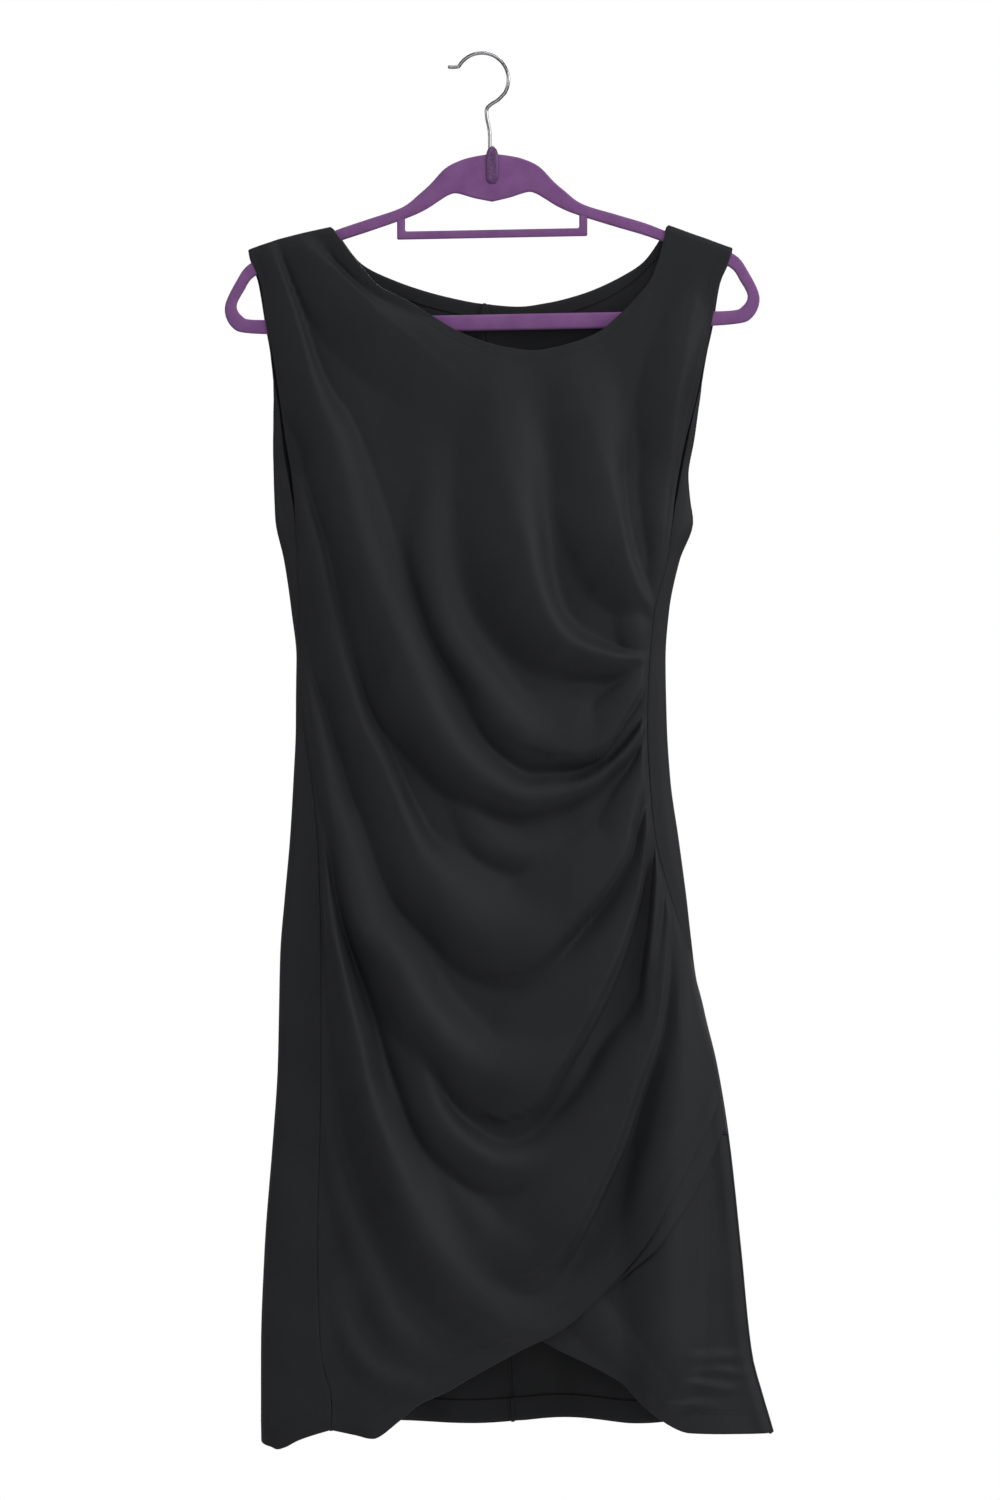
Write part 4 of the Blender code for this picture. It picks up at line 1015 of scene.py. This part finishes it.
FRONT_SHOULDER_END = -193
FRONT_NECK = [
    (-125, 142.5), (-118, 153), (-100, 176), (-85, 193), (-64, 203.5), (-41, 217.5), (-24, 228), (-2, 237.5),
    (22, 244), (44, 246.5), (78, 239), (97, 231), (117, 214), (130, 200.5), (141, 186), (148, 167),
    (154.5, 141),
]
DRAPE_COLUMNS = 132
DRAPE_CROWDING = 0.35  # how much closer the columns stand at the sides
DRAPE_ROW_PARTS = 6
DRAPE_CORNER_ROWS = 14
SWAG_LOW = 0.62  # where the swags are lowest, as a share across
SHOULDER_FADE = (-6, 10)  # distances below a shoulder's line between which the folds come free of its seam
FOLDS = [
    Fold("main_swag", 0.35, 0.7, [
        (-173.5, 160, 5, 3.5, 14), (-164, 186, 8, 3.5, 20), (-157, 206, 9.5, 4, 26),
        (-148.5, 236, 11, 6, 32), (-142, 262, 12.5, 9, 34), (-134, 292, 14.5, 17, 33),
        (-125, 320, 16.5, 26, 30), (-108, 386, 19, 33, 30), (-86, 452, 19.5, 33, 40),
        (-58, 519, 19.5, 34, 46), (-42, 552, 19, 32, 38), (-18, 585, 18, 30, 34), (7, 604, 16.5, 26, 28),
        (32, 616, 15, 22, 22), (56, 614, 13, 17, 18), (81, 607, 11, 11, 14), (101, 595, 9, 8, 10),
        (120, 577, 7, 7, 8), (137, 554, 5, 6, 5)]),
    Fold("neck_pleat", 0.5, 0.9, [
        (-150, 151, 5, 3.5, 20), (-130, 169, 8, 4, 34), (-112, 188, 9.5, 4.5, 44), (-97, 201, 9.5, 5, 50),
        (-85, 212, 8, 9, 54), (-70, 224, 6, 16, 56), (-50, 240, 4, 25, 54), (-25, 262, 2, 32, 50),
        (8, 292, 0, 36, 44)]),
    Fold("neck_rise", 0.5, 0.9, [
        (-125, 144, 2, 4, 14), (-112, 158, 4.5, 4, 18), (-92, 182, 5, 4, 18), (-70, 199, 3.5, 4, 15),
        (-44, 214, 0, 4, 10)]),
    Fold("upper_loop", 0.4, 0.6, [
        (-42, 330, 0, 20, 14), (-46, 369, 4.2, 24, 14), (-49, 410, 8.4, 29, 15), (-40, 452, 11.2, 27, 15),
        (-27, 486, 12.6, 28, 15), (-4, 519, 13.3, 28, 17), (19, 552, 13.3, 32, 26), (40, 569, 9.8, 34, 28),
        (66, 579, 0, 30, 14)]),
    Fold("loop_edge", 1.0, 0.5, [
        (12, 562, 0, 36, 20), (32, 572, 1.5, 42, 18), (52, 580, 6, 48, 15), (70, 583, 10.5, 50, 11),
        (84, 582, 13, 48, 8), (96, 578, 14, 42, 6), (104, 570, 14, 34, 5), (113, 557, 14, 30, 5),
        (124, 540, 13.3, 24, 5), (133, 523, 10.5, 18, 5), (139, 506, 5.6, 10, 5)]),
    Fold("bust_pleat", 0.4, 0.75, [
        (10, 262, 0, 34, 36), (15, 303, 5.6, 36, 36), (21, 336, 11.2, 35, 40), (26.5, 369, 15.4, 29, 48),
        (35, 403, 18.9, 23, 56), (42, 430, 19.6, 18, 58), (53, 460, 19.6, 14, 52), (66, 479, 17.5, 12, 40),
        (82, 490, 14, 11, 30), (106, 498, 11.2, 9, 24), (125, 500, 8.4, 6, 14), (138, 500.5, 5.6, 4, 5)]),
    Fold("pillow", 0.6, 0.5, [
        (123, 448, 0, 8, 14), (127, 462, 4.2, 12, 20), (129, 476, 6.3, 13, 22), (131, 490, 4.9, 10, 18),
        (133, 500, 0, 6, 10)]),
    Fold("underarm_pleat", 0.5, 0.75, [
        (80, 262, 0, 30, 30), (88, 285, 4.2, 30, 36), (94, 308, 8.4, 28, 40), (101, 336, 12.6, 19, 44),
        (106, 353, 14, 13, 48), (114, 386, 14, 8, 54), (120, 412, 11.9, 7, 50), (127, 436, 9.8, 8, 34),
        (134, 450, 7.7, 7, 18), (142, 461, 4.9, 5, 8)]),
    Fold("waist_swag", 0.4, 0.75, [
        (-150, 360, 2.8, 8, 10), (-144, 386, 7, 10, 14), (-136, 419, 9.8, 13, 18),
        (-122, 486, 11.2, 15, 24), (-102, 552, 12.6, 14, 28), (-85, 585, 13.3, 14, 32),
        (-58, 652, 15.4, 20, 40), (-42, 682, 17.5, 34, 42), (-17, 714, 18.9, 50, 36),
        (8, 731, 16.8, 56, 42), (36, 737, 12.6, 50, 42), (65, 730, 7, 36, 30), (94, 706, 0, 24, 16)]),
    Fold("waist_edge", 1.0, 0.5, [
        (8, 762, 0, 26, 20), (22, 762, 2, 38, 20), (37, 757, 6, 52, 18), (53, 745, 11, 64, 14),
        (71, 727, 15.5, 64, 9), (93, 703, 17.5, 58, 7), (108, 682, 16.8, 48, 7), (119, 660, 15.4, 34, 7),
        (123, 638, 13.3, 26, 6), (128, 617, 11.2, 20, 6), (134, 599, 9.1, 14, 6), (138, 582, 7, 10, 5),
        (140, 566, 4.2, 8, 5)]),
    Fold("small_swag", 0.5, 0.6, [
        (-22, 614, 0, 10, 10), (-10, 633, 4.2, 16, 16), (6, 652, 6.3, 20, 20), (28, 662, 5.6, 20, 20),
        (52, 662, 3.5, 18, 18), (77, 653, 0, 12, 12)]),
    Fold("waist_tuck", 0.6, 0.6, [
        (121, 660, 0, 4, 4), (127, 642, 4.2, 4, 4), (132, 625, 5.6, 4, 4), (136, 609, 5.6, 4, 4),
        (139, 600, 4.2, 4, 4)]),
    Fold("hip_swag", 0.3, 0.3, [
        (-148, 515, 2.8, 8, 8), (-139, 552, 8.4, 14, 12), (-126, 618, 12.6, 20, 12),
        (-118, 652, 14.7, 30, 14), (-101, 718, 18.5, 38, 20), (-75, 751, 20.5, 36, 34),
        (-58, 784, 20.5, 36, 36), (-32, 818, 20, 38, 34), (-6, 838, 18.2, 44, 42), (23, 845, 15, 46, 48),
        (52, 841, 10, 36, 42), (77, 826, 4.9, 28, 26), (100, 799, 0, 20, 14)]),
    Fold("hip_edge", 1.0, 0.5, [
        (4, 880, 0, 30, 20), (19, 881, 2, 42, 20), (34, 876, 6, 58, 18), (49, 863, 11, 70, 14),
        (61, 846, 15.5, 74, 9), (74, 825, 18.2, 72, 7), (90, 798, 18.2, 68, 7), (105, 767, 17.5, 56, 7),
        (114, 743, 16.1, 46, 7), (120, 724, 14.7, 38, 7), (126, 705, 12.6, 30, 6), (131, 681, 11.2, 22, 6),
        (134, 657, 9.8, 16, 6), (138, 633, 7, 11, 5), (140, 610, 4.2, 8, 5)]),
    Fold("thigh_swag", 0.4, 0.7, [
        (-88, 735, 0, 8, 10), (-76, 784, 4, 10, 16), (-62, 818, 7, 12, 22), (-47, 851, 10.5, 14, 26),
        (-32, 884, 14.7, 18, 30), (-8, 908, 14.7, 21, 30), (16, 919, 12.6, 22, 28), (42, 914, 8.4, 20, 22),
        (68, 890, 0, 14, 12)]),
    Fold("narrow_pleat", 0.8, 0.5, [
        (147, 650, 3.5, 6, 4), (146, 668, 6.3, 7, 4), (144, 691, 8.4, 8, 4), (142, 721, 9.1, 9, 4.5),
        (139, 746, 8.4, 9, 5), (136, 769, 7, 9, 5), (134, 794, 4.2, 10, 6), (130, 818, 0, 12, 8)]),
    Fold("long_swag", 0.0, 0.1, [
        (-134, 625, 0, 8, 6), (-130.5, 668, 10, 10, 9), (-124, 718, 17, 13, 14), (-117, 751, 20, 14, 18),
        (-110, 784, 22, 17, 24), (-102, 818, 23.5, 20, 30), (-96, 851, 24, 24, 34), (-86, 884, 24, 28, 38),
        (-62, 950, 22, 42, 40), (-47, 984, 20, 50, 38), (-25, 1017, 15.4, 56, 32), (13, 1050, 8.4, 50, 24),
        (45, 1058, 2.8, 34, 16), (65, 1054, 0, 30, 12)]),
    Fold("low_swag", 0.5, 0.6, [
        (-54, 910, 0, 14, 20), (-22, 950, 5.6, 18, 24), (12, 984, 8, 26, 34), (38, 1000, 7.5, 30, 30),
        (64, 985, 4.2, 24, 14), (85, 960, 0, 14, 10)]),
    Fold("low_edge", 1.0, 0.5, [
        (24, 1012, 0, 26, 18), (38, 1011, 2, 38, 18), (51, 1005, 5.5, 50, 17), (63, 994, 10, 60, 14),
        (75, 979, 14.5, 68, 9), (88, 957, 17.5, 70, 7), (100, 931, 17.5, 68, 7), (113, 903, 17.5, 62, 7),
        (122, 876, 16.8, 54, 7), (132, 846, 15.4, 44, 7), (142, 819, 13.3, 32, 6), (147, 792, 11.9, 22, 6),
        (150, 767, 10.5, 15, 6), (152, 743, 9.1, 11, 5), (154, 721, 7, 8, 5), (155, 700, 4.2, 6, 4)]),
    Fold("hem_swag", 0.4, 0.5, [
        (-128, 850, 0, 10, 10), (-122, 917, 4.2, 12, 12), (-110, 967, 5.6, 14, 14),
        (-90, 1017, 5.6, 16, 16), (-76, 1050, 4.9, 16, 16), (-43, 1083, 0, 14, 14)]),
    Fold("hem_ripple", 0.4, 0.5, [
        (-122, 1030, 0, 8, 8), (-112, 1062, 3.5, 11, 11), (-94, 1088, 4.9, 12, 12),
        (-66, 1102, 3.5, 12, 12), (-40, 1100, 0, 10, 10)]),
    Fold("armhole_roll", 0.5, 0.6, [
        (179, 205, 0, 11, 24), (173, 232, 7, 14, 30), (167, 256, 11, 14, 34), (162, 280, 12, 12, 36),
        (159, 303, 11, 10, 34), (157, 330, 9, 8, 28), (154, 353, 7, 7, 26), (151, 386, 5, 6, 20),
        (148, 420, 2.8, 6, 12), (143, 450, 0, 5, 8)]),
]


def swag_share(u, row):
    """How far down a row lies at any share across: rows hang from both edges to SWAG_LOW."""
    left = share_down(row, "left")
    middle = share_down(row, "middle")
    right = share_down(row, "right")
    on_left = middle + (left - middle) * np.clip((SWAG_LOW - u) / SWAG_LOW, 0, 1) ** 2
    return on_left + (right - middle) * np.clip((u - SWAG_LOW) / (1 - SWAG_LOW), 0, 1) ** 4


neck = outline(FRONT_NECK)
left_shoulder = shoulder(FRONT_SHOULDER_END, neck[0][0])
top = np.vstack([left_shoulder, neck, shoulder(neck[-1][0], RIGHT_SHOULDER[-1][0])])
hem = outline(DRAPE_HEM)
even = np.linspace(0, 1, DRAPE_COLUMNS + 1)
across = even - DRAPE_CROWDING * np.sin(2 * math.pi * even) / (2 * math.pi)
u, row = np.meshgrid(across, row_numbers(DRAPE_ROW_PARTS))
x, drop = between(top, hem, u, swag_share(u, row))
from_left = smooth_step(0, SEAM_FADE, x - front_left(drop))
from_right = smooth_step(0, SEAM_FADE, front_right(drop) - x)
lift = fold_heights(FOLDS, x, drop) + together(x, drop)
lift = lift * (1 - smooth_step(*UNDERARM, drop) * (1 - from_left * from_right))
lift = lift * smooth_step(*SHOULDER_FADE, drop - shoulder_drop(x)) * roll(x, drop)
drape_points = np.stack([x, front_y(x, drop) - lift - SEAM_GAP / 2, -drop], axis=-1)
drape_normals = normals_of(drape_points, 1)
drape = panel("front_drape_panel", hemmed(drape_points, drape_normals, DRAPE_CORNER_ROWS), 1, jersey)
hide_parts("front_drape")

# --- Stitching --------------------------------------------------------------------------------------------
# Black polyester thread in the jersey: a twin-needle row round every hem, and a single row that holds down
# the turned edges of the neck and armholes.

THREAD = 0.4
STITCH_LENGTH = 2.5
STITCH_PITCH = 3.0
HEM_ROWS = (17.5, 20.5)  # distances of a hem's two rows from its edge
EDGE_ROW = (8.0,)
THREAD_BLACK = "#1A1B1E"


def point_at(line, far, distance):
    """The point of a line that lies at a distance along it, where far holds its points' own distances."""
    return Vector([np.interp(distance, far, line[:, axis]) for axis in range(3)])


def sew(made, points, normals, reaches, kept=FORWARD):
    """Rows of stitches along a grid's first row, each at its distance from it, over the columns kept."""
    lengths = lengths_along(points)
    shape = Matrix.Diagonal((STITCH_LENGTH / 2, THREAD / 2, THREAD / 2, 1))
    for reach in reaches:
        at = np.full(points.shape[1], reach)
        line, out = (at_length(grid, lengths, at)[kept] for grid in (points, normals))
        far = np.concatenate([[0], np.cumsum(np.linalg.norm(np.diff(line, axis=0), axis=1))])
        for start in np.arange(0, far[-1] - STITCH_PITCH, STITCH_PITCH):
            first = point_at(line, far, start)
            last = point_at(line, far, start + STITCH_LENGTH)
            lies = (last - first).normalized()
            beside = point_at(out, far, start).cross(lies).normalized()
            turned = Matrix((lies, beside, lies.cross(beside))).transposed().to_4x4()
            placed = Matrix.Scale(MM, 4) @ Matrix.Translation((first + last) / 2) @ turned @ shape
            bmesh.ops.create_icosphere(made, subdivisions=1, radius=1, matrix=placed)


# Spun polyester thread: even, black and a little glossier than the jersey.
thread = new_material("black_polyester_thread", Roughness=0.45, Base_Color=linear(THREAD_BLACK))[0]
made = bmesh.new()
for side, grids in (*backs.items(), ("front", (drape_points, drape_normals))):
    sew(made, *grids, EDGE_ROW, ~on_shoulder(grids[0][0]))
    sew(made, *(grid[BACKWARD] for grid in grids), HEM_ROWS)
    for order in (FORWARD, BACKWARD) if side == "front" else (FORWARD,):
        edge = [np.swapaxes(grid, 0, 1)[order] for grid in grids]
        drops = -edge[0][0, :, 2]
        sew(made, *edge, EDGE_ROW, (drops > drops[0] + EDGE_ROW[0]) & (drops < UNDERARM[1]))
sew(made, petal_points[BACKWARD], petal_normals[BACKWARD], HEM_ROWS)
stitching = new_piece("stitching", made, thread)

# --- Floor, light and camera ------------------------------------------------------------------------------
# A pale studio: a matt floor well below the hem, and large soft lights. The strongest in front stands on the
# right, so that each swag has a light upper side and a dark one below. Weaker ones fill in from the left,
# above and the front, and one behind lights the back.

FLOOR_DROP = 2100
FLOOR_SIZE = 3000
CAMERA_AT = (15, 6000, 577)  # x, distance in front and drop
FRAME_HEIGHT = 1245  # mm of the dress's plane that the frame's long side takes in
SENSOR = 36
STUDIO_WHITE = "#FFFFFF"
STUDIO_FILL = 0.15
FLOOR_WHITE = "#F4F3F2"
FLOOR_SHADE = "#F1F0EF"
FLOOR_STIPPLE = 40.0

# Matt floor paint: pale and even, with a faint stipple.
paint, tree, shader = new_material("matt_floor_paint", Roughness=0.8)
place = add_node(tree, "ShaderNodeTexCoord").outputs["Object"]
stipple = add_node(tree, "ShaderNodeTexNoise", Vector=place, Scale=1 / (FLOOR_STIPPLE * MM), Detail=3.0)
tint = add_node(
    tree, "ShaderNodeValToRGB", stipple.outputs["Fac"], stops=[(0.3, FLOOR_SHADE), (0.7, FLOOR_WHITE)],
)
feed(shader, Base_Color=tint.outputs["Color"])
made = bmesh.new()
bmesh.ops.create_grid(made, x_segments=4, y_segments=4, size=FLOOR_SIZE / 2 * MM)
bmesh.ops.translate(made, verts=made.verts, vec=(0, 0, -FLOOR_DROP * MM))
floor = new_object("floor", made, paint)

world = bpy.data.worlds.new("studio")
bpy.context.scene.world = world
world.use_nodes = True
tree = world.node_tree
backdrop = tree.nodes["Background"]
feed(backdrop, Color=linear(STUDIO_WHITE), Strength=1.0)
dim = add_node(tree, "ShaderNodeBackground", Color=linear(STUDIO_WHITE), Strength=STUDIO_FILL)
seen = add_node(tree, "ShaderNodeLightPath").outputs["Is Camera Ray"]
lights = dim.outputs["Background"], backdrop.outputs["Background"]
chosen = add_node(tree, "ShaderNodeMixShader", seen, *lights)
feed(tree.nodes["World Output"], Surface=chosen.outputs["Shader"])

Lamp = namedtuple("Lamp", "name size power azimuth elevation distance")
LAMPS = [
    Lamp("key", 2000, 30, 25, 45, 5000),
    Lamp("top", 2000, 33, 0, 75, 5000),
    Lamp("right_side", 2000, 57, 60, 15, 5000),
    Lamp("left_side", 2000, 31, -60, 15, 5000),
    Lamp("right_rim", 2000, 30, 88, 20, 5000),
    Lamp("front", 2000, 22, 5, 3, 5500),
    Lamp("behind", 2000, 90, 160, 30, 5000),
]
for lamp in LAMPS:
    light = bpy.data.lights.new(lamp.name, "AREA")
    light.size = lamp.size * MM
    light.energy = lamp.power
    item = bpy.data.objects.new(lamp.name, light)
    bpy.context.scene.collection.objects.link(item)
    azimuth, elevation = math.radians(lamp.azimuth), math.radians(lamp.elevation)
    level = math.cos(elevation)
    toward = Vector((math.sin(azimuth) * level, -math.cos(azimuth) * level, math.sin(elevation)))
    item.location = Vector((0, 0, -CAMERA_AT[2] * MM)) + toward * lamp.distance * MM
    item.rotation_euler = toward.to_track_quat("Z", "Y").to_euler()

at_x, distance, at_drop = CAMERA_AT
lens = bpy.data.cameras.new("camera")
lens.sensor_width = SENSOR
lens.lens = SENSOR * distance / FRAME_HEIGHT
lens.clip_end = 100
camera = bpy.data.objects.new("camera", lens)
camera.location = (at_x * MM, -distance * MM, -at_drop * MM)
camera.rotation_euler = (math.pi / 2, 0, 0)
bpy.context.scene.collection.objects.link(camera)
bpy.context.scene.camera = camera
bpy.context.scene.view_settings.view_transform = "Standard"
